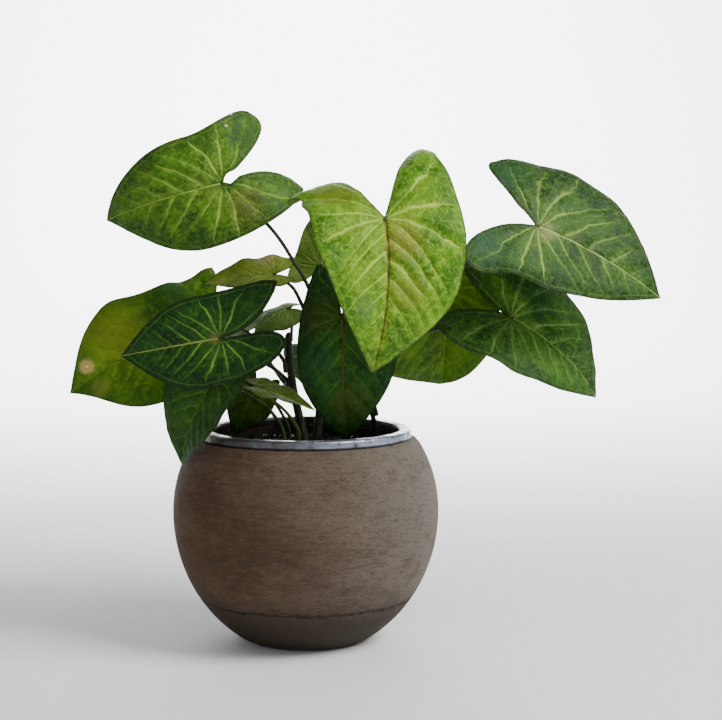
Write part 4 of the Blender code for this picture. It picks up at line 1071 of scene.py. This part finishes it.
def clay_finish():
    """Rough clay with fine level strokes, warm brown to one side and grey to the other, the lighter
    grey side partly painted light; painted shade on the foot, along the groove line and inside the
    mouth, and a painted highlight on the base edge.
    """
    mat, tree, shader = surface("brushed_clay", IOR=1.45, Specular_IOR_Level=0.22)
    place = object_place(tree)
    x, y, z = parts(tree, place)
    around = node(tree, "ShaderNodeMath", {"operation": "ARCTAN2"}, {0: y, 1: x})
    turn = Value(tree, around.outputs[0])
    strokes_place = node(tree, "ShaderNodeCombineXYZ", {}, {
        0: turn.math("COSINE") * 1.1, 1: turn.math("SINE") * 1.1, 2: z * 60.0})
    strokes_vector = Value(tree, strokes_place.outputs[0])
    strokes = cloud(tree, strokes_vector, 9.0, 7.0, 0.74)
    fine = cloud(tree, strokes_vector, 30.0, 5.0, 0.72)
    broad = cloud(tree, place, 17.0, 4.0, 0.6, 0.5)
    smears = cloud(tree, moved(tree, place, scale=(34.0, 34.0, 60.0)), 1.0, 7.0, 0.72, 0.25)
    grit = cloud(tree, place, 900.0, 3.0, 0.6)
    # Grey, lighter side: partly the clay's own tint, partly painted light
    greyer_lit_side = (x + y * 0.3 + (broad - 0.5) * 0.05).between(-0.085, 0.085)
    # Painted shade, darker towards the foot
    foot_shade = (z + (smears - 0.5) * 0.016).fade(0.018, 0.040)
    # Painted shade along the groove line
    groove_shade_line = (z - FOOT_LINE_Z * MM + (smears - 0.5) * 0.010).math("ABSOLUTE")
    # Painted shade on the inner wall above the soil
    inside = away(x, y).fade(0.0575, 0.0585) * z.between(0.100, 0.105)
    warm_shaded_clay, grey_lit_clay = tone(74, 52, 31), tone(108, 105, 97)
    colour = layered(tree, blend(tree, greyer_lit_side, warm_shaded_clay, grey_lit_clay), [
        # Cloudy reddish zones, dark and pale smears
        (broad.between(0.30, 0.70) * 0.35, tone(98, 76, 62)),
        (smears.between(0.46, 0.66) * 0.38, tone(50, 39, 27)),
        (smears.fade(0.34, 0.48) * 0.12, tone(124, 116, 104)),
        # Level strokes, pale ones over dark ones
        (strokes.between(0.50, 0.66) * 0.20, tone(122, 108, 92)),
        (strokes.fade(0.30, 0.50) * 0.55, tone(48, 38, 28)),
        (fine.fade(0.34, 0.52) * 0.55, tone(38, 29, 21)),
        # Painted shade on the foot, painted shade along its ragged groove line, a painted highlight on
        # the base edge, and painted shade on the inner wall
        (foot_shade * 0.75, tone(40, 35, 26)),
        (groove_shade_line.fade(0.0003, 0.0020) * strokes.between(0.38, 0.55, 1.0, 0.35), tone(24, 19, 14)),
        # Painted highlight on the base edge
        (z.fade(0.0016, 0.0032) * 0.5, tone(96, 98, 98)),
        (inside * 0.85, tone(26, 22, 18)),
    ])
    paint(tree, shader, colour, 0.62 + strokes * 0.26)
    relief(tree, shader, strokes + fine * 0.6 + smears * 0.9 + grit * 0.10, 0.0014, 0.8)
    return mat


def band_finish():
    """Worn pewter band with tarnish: painted shade in dull warm grey to one side, a painted blue-tinted
    highlight to the other, a painted shadow along its bottom edge and painted shade on its inner face.
    """
    mat, tree, shader = surface("worn_band", Metallic=0.8)
    place = object_place(tree)
    x, y, z = parts(tree, place)
    patches = cloud(tree, place, 110.0, 6.0, 0.7, 0.5)
    painted_light_wobble = cloud(tree, place, 30.0, 3.0, 0.55)
    scratch = cloud(tree, moved(tree, place, scale=(60.0, 60.0, 1800.0)), 1.0, 3.0)
    # Painted highlight to one side, painted shade to the other
    painted_highlight_side = (x - y * 0.6 + (painted_light_wobble - 0.5) * 0.14).between(-0.02, 0.085)
    # Painted shadow along the band's bottom edge
    shadow_line_low = (z - RIM_BOTTOM_Z * MM + (painted_light_wobble - 0.5) * 0.0012).fade(0.0006, 0.0013)
    shaded_warm_grey, highlight_bluish = tone(72, 68, 64), tone(150, 160, 180)
    colour = layered(tree, blend(tree, painted_highlight_side, shaded_warm_grey, highlight_bluish), [
        # Tarnish in patches, a painted shadow line low down, and painted shade on the inner face
        (patches.fade(0.36, 0.50) * 0.7, tone(70, 62, 54)),
        (patches.fade(0.28, 0.40) * 0.85, tone(28, 25, 23)),
        (shadow_line_low * 0.8, tone(24, 22, 22)),
        # Painted shade on the inner face
        (away(x, y).fade(0.0576, 0.0590) * 0.7, tone(40, 38, 36)),
    ])
    paint(tree, shader, colour, 0.20 + patches.fade(0.35, 0.6) * 0.3 + scratch * 0.12)
    relief(tree, shader, patches + scratch * 0.3, 0.0006, 0.6)
    return mat


def soil_finish():
    """Near-black potting soil with brown fibres."""
    mat, tree, shader = surface("potting_soil", Specular_IOR_Level=0.2)
    place = object_place(tree)
    lumps = cloud(tree, place, 260.0, 5.0, 0.65)
    grains = cloud(tree, place, 1200.0, 4.0, 0.7)
    colour = blend(tree, lumps.between(0.4, 0.68), tone(15, 13, 11), tone(34, 27, 20))
    colour = blend(tree, grains.between(0.62, 0.76) * 0.5, colour, tone(66, 52, 38))
    paint(tree, shader, colour, 0.82 + grains * 0.15)
    relief(tree, shader, lumps + grains * 0.5, 0.0016, 0.8)
    return mat


def perlite_finish():
    """White porous grains."""
    mat, tree, shader = surface("perlite_grains")
    pores = cloud(tree, object_place(tree), 1400.0, 3.0, 0.7)
    colour = blend(tree, pores.between(0.35, 0.6), tone(178, 172, 160), tone(236, 234, 228))
    paint(tree, shader, colour, 0.7 + pores * 0.2)
    relief(tree, shader, pores, 0.0004, 0.7)
    return mat


def floor_finish():
    """Pale floor with a faint grain."""
    mat, tree, shader = surface("pale_floor", Specular_IOR_Level=0.15)
    grain = cloud(tree, object_place(tree), 120.0, 3.0)
    colour = blend(tree, grain.between(0.3, 0.7), (0.80, 0.80, 0.81), (0.83, 0.83, 0.84))
    paint(tree, shader, colour, 0.75 + grain * 0.1)
    return mat


# Turned pieces: rings drawn out one from another


def start_ring(radius, height):
    """One ring of edges, selected in edit mode."""
    bpy.ops.object.select_all(action="DESELECT")
    place = (0.0, 0.0, height * MM)
    bpy.ops.mesh.primitive_circle_add(vertices=TURN_STEPS, radius=radius * MM, location=place)
    bpy.ops.object.transform_apply(location=True, rotation=True, scale=True)
    bpy.ops.object.mode_set(mode="EDIT")
    bpy.ops.mesh.select_all(action="SELECT")
    return bpy.context.object


def extrude_edges(*move):
    bpy.ops.mesh.extrude_edges_move(TRANSFORM_OT_translate={"value": move})


def close_pole():
    """Close the selected ring at its middle."""
    extrude_edges(0.0, 0.0, 0.0)
    bpy.ops.mesh.merge(type="CENTER")


def select_where(obj, wanted):
    """Select the points whose place is wanted, and the edges between them."""
    bpy.ops.object.mode_set(mode="OBJECT")
    for vertex in obj.data.vertices:
        vertex.select = wanted(vertex.co)
    for edge in obj.data.edges:
        edge.select = all(obj.data.vertices[v].select for v in edge.vertices)
    bpy.ops.object.mode_set(mode="EDIT")


def draw_rings(profile):
    """Draw the selected ring out along the profile."""
    for (r0, z0), (r1, z1) in zip(profile, profile[1:]):
        extrude_edges(0.0, 0.0, (z1 - z0) * MM)
        share = r1 / r0
        bpy.ops.transform.resize(value=(share, share, 1.0), center_override=(0.0, 0.0, z1 * MM))


def finish_turned(obj, name, material, sharp):
    """Merge the seam, point the faces outwards, and name and coat the piece."""
    bpy.ops.mesh.select_all(action="SELECT")
    bpy.ops.mesh.remove_doubles(threshold=MERGE_WITHIN)
    bpy.ops.mesh.normals_make_consistent(inside=False)
    bpy.ops.object.mode_set(mode="OBJECT")
    bpy.ops.object.shade_smooth_by_angle(angle=math.radians(sharp))
    obj.name = name
    obj.data.name = name
    obj.data.materials.clear()
    obj.data.materials.append(material)
    return obj


def turned_solid(profile, name, material, sharp=35.0):
    """Solid turned from a profile whose two ends close in the middle."""
    obj = start_ring(*profile[0])
    radius, height = profile[0]

    def on_first_ring(co):
        at_radius = abs(math.hypot(co.x, co.y) - radius * MM) < MERGE_WITHIN
        return at_radius and abs(co.z - height * MM) < MERGE_WITHIN

    close_pole()
    bpy.ops.mesh.select_all(action="DESELECT")
    select_where(obj, on_first_ring)
    draw_rings(profile)
    close_pole()
    return finish_turned(obj, name, material, sharp)


def pot_outer_radius(z):
    """Ball below, with the upper part drawn a little taller."""
    drop = z - POT_CENTRE_Z
    half = POT_LOWER_HALF_HEIGHT if drop < 0.0 else POT_UPPER_HALF_HEIGHT
    return POT_RADIUS * math.sqrt(max(0.0, 1.0 - (drop / half) ** 2))


def pot_profile():
    """Radius and height round the pot's wall: rounded foot, ball, groove, shoulder and mouth."""
    foot = pot_outer_radius(0.0)
    profile = [(foot - POT_BASE_EDGE, 0.0), (foot - 0.5, 0.15), (foot + 0.25, 0.6), (foot + 0.9, 1.2)]
    heights = [2.4 + 1.8 * k for k in range(14)]
    profile += [(pot_outer_radius(z), z) for z in heights]
    for offset, depth in FOOT_GROOVE:
        z = FOOT_LINE_Z + offset
        profile.append((pot_outer_radius(z) - depth, z))
    low = FOOT_LINE_Z + 3.2
    heights = [low + (POT_SHOULDER_Z - 1.8 - low) * k / WALL_STEPS for k in range(WALL_STEPS + 1)]
    profile += [(pot_outer_radius(z), z) for z in heights]
    shoulder = pot_outer_radius(POT_SHOULDER_Z)
    profile += [(shoulder - 0.1, POT_SHOULDER_Z - 0.8), (shoulder - 0.9, POT_SHOULDER_Z + 0.4)]
    profile.append((shoulder - 2.2, POT_SHOULDER_Z + 1.0))
    profile += [(RIM_OUTER_RADIUS + 0.8, POT_TOP_Z), (RIM_OUTER_RADIUS - 1.5, POT_TOP_Z)]
    profile += [(POT_MOUTH_RADIUS, POT_TOP_Z), (POT_MOUTH_RADIUS, POT_INNER_LIP_Z)]
    profile.append((POT_MOUTH_RADIUS + 0.6, POT_INNER_END_Z))
    return profile


def pot_piece(material):
    obj = turned_solid(pot_profile(), "pot_body", material)
    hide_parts("pot")
    return obj


def rounding(centre, start):
    """Quarter of a circle at the band's top, from a number of quarter turns."""
    points = []
    for k in range(RIM_STEPS + 1):
        angle = 0.5 * math.pi * (start + k / RIM_STEPS)
        drop = RIM_ROUNDING * (1.0 - math.sin(angle))
        points.append((centre + RIM_ROUNDING * math.cos(angle), RIM_TOP_Z - drop))
    return points


def band_piece(material):
    """Lip band with its top worn a little uneven."""
    profile = [(RIM_OUTER_RADIUS - 0.6, RIM_BOTTOM_Z), (RIM_OUTER_RADIUS - 0.1, RIM_BOTTOM_Z + 0.3)]
    profile.append((RIM_OUTER_RADIUS, RIM_BOTTOM_Z + 0.9))
    profile += rounding(RIM_OUTER_RADIUS - RIM_ROUNDING, 0.0)
    profile += rounding(RIM_INNER_RADIUS + RIM_ROUNDING, 1.0)
    profile += [(RIM_INNER_RADIUS, RIM_BOTTOM_Z), profile[0]]
    obj = start_ring(*profile[0])
    draw_rings(profile)
    obj = finish_turned(obj, "lip_band", material, 35.0)
    for vertex in obj.data.vertices:
        x, y, z = vertex.co
        turn = math.atan2(y, x)
        sway = noise.noise(Vector((1.6 * math.cos(turn), 1.6 * math.sin(turn), 3.0)))
        small = noise.noise(Vector((7.0 * math.cos(turn), 7.0 * math.sin(turn), 9.0 + 200.0 * z)))
        if z > (RIM_TOP_Z - 3.0) * MM:
            vertex.co.z = z + (0.10 * sway + 0.07 * small - 0.12) * MM
    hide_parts("pot_lip_band")
    return obj


def soil_height(radius):
    share = min(1.0, radius / (POT_MOUTH_RADIUS - SOIL_GAP))
    return SOIL_EDGE_Z + SOIL_CROWN * (1.0 - share * share)


def soil_piece(material):
    """Soil bed, crowned in the middle and lumpy."""
    edge = POT_MOUTH_RADIUS - 0.05
    profile = [(edge + 0.4, SOIL_SKIRT_Z), (edge, SOIL_SIDE_Z)]
    radii = [edge - 0.4] + [edge * (1.0 - k / SOIL_RINGS) for k in range(1, SOIL_RINGS)]
    profile += [(r, soil_height(r)) for r in radii]
    obj = turned_solid(profile, "soil_bed", material, 80.0)
    for vertex in obj.data.vertices:
        x, y, z = vertex.co / MM
        if z > SOIL_SIDE_Z + 0.5:
            lumps = noise.fractal(Vector((x * 0.11, y * 0.11, 5.0)), 0.8, 2.1, 4)
            grains = noise.fractal(Vector((x * 0.5, y * 0.5, 1.0)), 0.7, 2.0, 3)
            vertex.co.z += (1.3 * lumps + 0.6 * grains - 0.3) * MM
    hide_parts("soil")
    return obj


def grain_shape(name, seed, flatness):
    """One rough grain, 1 mm across, modelled once and then copied."""
    bpy.ops.object.select_all(action="DESELECT")
    bpy.ops.mesh.primitive_ico_sphere_add(subdivisions=2, radius=0.5 * MM)
    obj = bpy.context.object
    obj.name = name
    bpy.ops.object.mode_set(mode="EDIT")
    bpy.ops.mesh.select_all(action="SELECT")
    bpy.ops.transform.vertex_random(offset=0.12 * MM, uniform=0.4, normal=0.6, seed=seed)
    bpy.ops.transform.resize(value=(1.0, 0.75, flatness))
    bpy.ops.object.mode_set(mode="OBJECT")
    return obj


def linked_mesh(name, points, faces, materials, sharp):
    """New object from points in metres, smooth but for its sharp edges."""
    mesh = bpy.data.meshes.new(name)
    mesh.from_pydata(points, [], faces)
    obj = bpy.data.objects.new(name, mesh)
    bpy.context.scene.collection.objects.link(obj)
    for material in materials:
        mesh.materials.append(material)
    mesh.polygons.foreach_set("use_smooth", [True] * len(mesh.polygons))
    mesh.set_sharp_from_angle(angle=math.radians(sharp))
    return obj


def any_turn(dice):
    return dice.uniform(0.0, 6.28)


def scattered(name, shapes, count, sizes, dice, material, clear_of):
    """Copies of the grain shapes over the soil, joined into one piece."""
    points, faces = [], []
    made = 0
    while made < count:
        angle = dice.uniform(0.0, 2.0 * math.pi)
        radius = (POT_MOUTH_RADIUS - 3.0) * math.sqrt(dice.random())
        x, y = radius * math.cos(angle), radius * math.sin(angle)
        size = dice.uniform(*sizes)
        spin = Matrix.Rotation(any_turn(dice), 3, "Z") @ Matrix.Rotation(any_turn(dice), 3, "X")
        shape = shapes[made % len(shapes)].data
        if any(math.hypot(x - cx, y - cy) < 4.0 + size * 0.5 for cx, cy in clear_of):
            continue
        centre = Vector((x, y, soil_height(radius) + 0.12 * size)) * MM
        start = len(points)
        points += [tuple(centre + spin @ (v.co * size)) for v in shape.vertices]
        faces += [tuple(start + i for i in p.vertices) for p in shape.polygons]
        made += 1
    return linked_mesh(name, points, faces, [material], 50.0)


def grains():
    """Crumbs of soil and white perlite lying on the bed."""
    dice = random.Random(11)
    feet = [stem["points"][0][:2] for stem in STEMS.values()]
    feet += [leaf["soil"] for leaf in LEAVES.values() if "soil" in leaf]
    shapes = [grain_shape("grain_%d" % k, 3 + k, 0.6 + 0.1 * k) for k in range(4)]
    crumbs = scattered("soil_crumbs", shapes, 420, (1.0, 3.6), dice, soil_finish(), feet)
    white = scattered("perlite", shapes, 34, (1.2, 2.6), dice, perlite_finish(), feet)
    for shape in shapes:
        bpy.data.objects.remove(shape)
    return [crumbs, white]


# Stems and leaves


def mesh_piece(name, points, faces, materials):
    """Piece from points in millimetres."""
    return linked_mesh(name, (points * MM).tolist(), faces.tolist(), materials, SMOOTH_BELOW)


def write_field(mesh, name, vectors):
    """Store a vector at each point, for the material to read."""
    field = mesh.attributes.new(name, "FLOAT_VECTOR", "POINT")
    field.data.foreach_set("vector", np.asarray(vectors, np.float32).ravel())


def stem_piece(name, material):
    """Stem with ringed joints a finger's width apart."""
    stem = STEMS[name]
    path = smooth_path(stem["points"], STEM_RINGS)
    radii = np.linspace(*stem["radii"], STEM_RINGS)
    lengths = path_lengths(path)
    for k, length in enumerate(lengths):
        to_ring = abs((length / STEM_RING_SPACING + 0.4) % 1.0 - 0.5) * STEM_RING_SPACING
        ring = 0.16 * math.exp(-(to_ring / 0.9) ** 2)
        waist = 0.05 * math.exp(-(to_ring / 3.0) ** 2)
        radii[k] *= 1.0 + ring - waist
    radii[-4:] *= STEM_TOP_TAPER
    points, faces = tube(path, radii, STEM_SIDES)
    obj = mesh_piece(name + "_bark", points, faces, [material])
    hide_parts(name)
    return obj


def leaf_piece(name, stalk_material):
    """Blade and stalk of one leaf."""
    leaf = LEAVES[name]
    points, faces, flats, veins = blade_mesh(leaf)
    path = stalk_path(leaf, STALK_RINGS)
    along = np.linspace(0.0, 1.0, STALK_RINGS)
    radii = leaf["stalk_radius"] * (1.0 - 0.22 * along + 0.32 * np.exp(-(along / 0.10) ** 2))
    stalk_points, stalk_faces = tube(path, radii, STALK_SIDES)
    count = len(points)
    materials = [leaf_finish(name, leaf_look(name), leaf["length"]), stalk_material]
    all_faces = np.vstack([faces, stalk_faces + count])
    obj = mesh_piece(name + "_blade", np.vstack([points, stalk_points]), all_faces, materials)
    choice = np.zeros(len(obj.data.polygons), np.int32)
    choice[len(faces):] = 1
    obj.data.polygons.foreach_set("material_index", choice)
    plain = np.zeros((len(stalk_points), 3))
    write_field(obj.data, "flat", np.vstack([flats, plain]))
    write_field(obj.data, "vein", np.vstack([veins, plain]))
    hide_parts(name)
    return obj


# Studio and assembly


def area_light(name, place, aim, size, power, colour=(1.0, 1.0, 1.0), spread=180.0):
    data = bpy.data.lights.new(name, "AREA")
    data.shape = "SQUARE"
    data.size = size
    data.energy = power
    data.color = colour
    data.spread = math.radians(spread)
    obj = bpy.data.objects.new(name, data)
    bpy.context.scene.collection.objects.link(obj)
    turn = (Vector(aim) - Vector(place)).to_track_quat("-Z", "Y").to_matrix()
    obj.matrix_world = Matrix.Translation(place) @ turn.to_4x4()


def swept_floor():
    """Pale floor swept up into a backdrop."""
    bpy.ops.object.select_all(action="DESELECT")
    bpy.ops.mesh.primitive_plane_add(size=6.0, location=(0.0, -0.8, 0.0))
    floor = bpy.context.object
    bpy.ops.object.transform_apply(location=True)
    bpy.ops.object.mode_set(mode="EDIT")
    bpy.ops.mesh.select_all(action="DESELECT")
    select_where(floor, lambda co: co.y > 2.0)
    extrude_edges(0.0, 0.3, 2.6)
    bpy.ops.object.mode_set(mode="OBJECT")
    for edge in floor.data.edges:
        ends = [floor.data.vertices[v].co for v in edge.vertices]
        edge.select = all(2.0 < co.y < 2.3 and co.z < 0.1 for co in ends)
    bpy.ops.object.mode_set(mode="EDIT")
    bpy.ops.mesh.select_mode(type="EDGE")
    bpy.ops.mesh.bevel(offset=0.9, segments=24, affect="EDGES")
    bpy.ops.mesh.select_mode(type="VERT")
    bpy.ops.object.mode_set(mode="OBJECT")
    bpy.ops.object.shade_smooth()
    floor.name = "floor"
    floor.data.materials.append(floor_finish())


def studio():
    """Floor and backdrop, a window light from the right, a soft fill and a light on the backdrop."""
    swept_floor()
    world = bpy.data.worlds.new("studio")
    world.use_nodes = True
    sky = world.node_tree.nodes["Background"]
    sky.inputs["Color"].default_value = (0.93, 0.95, 1.0, 1.0)
    sky.inputs["Strength"].default_value = 0.45
    bpy.context.scene.world = world
    area_light("window_light", (1.1, -0.55, 1.25), (0.0, 0.0, 0.2), 0.8, 42.0, (1.0, 0.98, 0.94))
    area_light("fill_light", (-1.0, -1.6, 0.5), (0.0, 0.0, 0.15), 1.2, 4.0, (0.92, 0.95, 1.0))
    area_light("wall_light", (0.0, 1.0, 1.9), (0.0, 2.1, 0.4), 1.6, 120.0, (1.0, 1.0, 1.0), 100.0)


def plain(box):
    return [[float(number) for number in corner] for corner in box]


def main():
    camera()
    bark = stalk_finish("stem_bark", tone(18, 25, 11), tone(42, 42, 20))
    dark_stalk = stalk_finish("dark_stalk", tone(24, 30, 13), tone(48, 54, 24))
    green_stalk = stalk_finish("green_stalk", tone(44, 58, 18), tone(84, 94, 36))
    pieces = [pot_piece(clay_finish()), band_piece(band_finish()), soil_piece(soil_finish())]
    pieces += grains()
    pieces += [stem_piece(name, bark) for name in STEMS]
    for name in LEAVES:
        stalk = green_stalk if name in GREEN_STALKED else dark_stalk
        pieces.append(leaf_piece(name, stalk))
    for piece in pieces:
        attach(piece, "root")
    studio()


main()
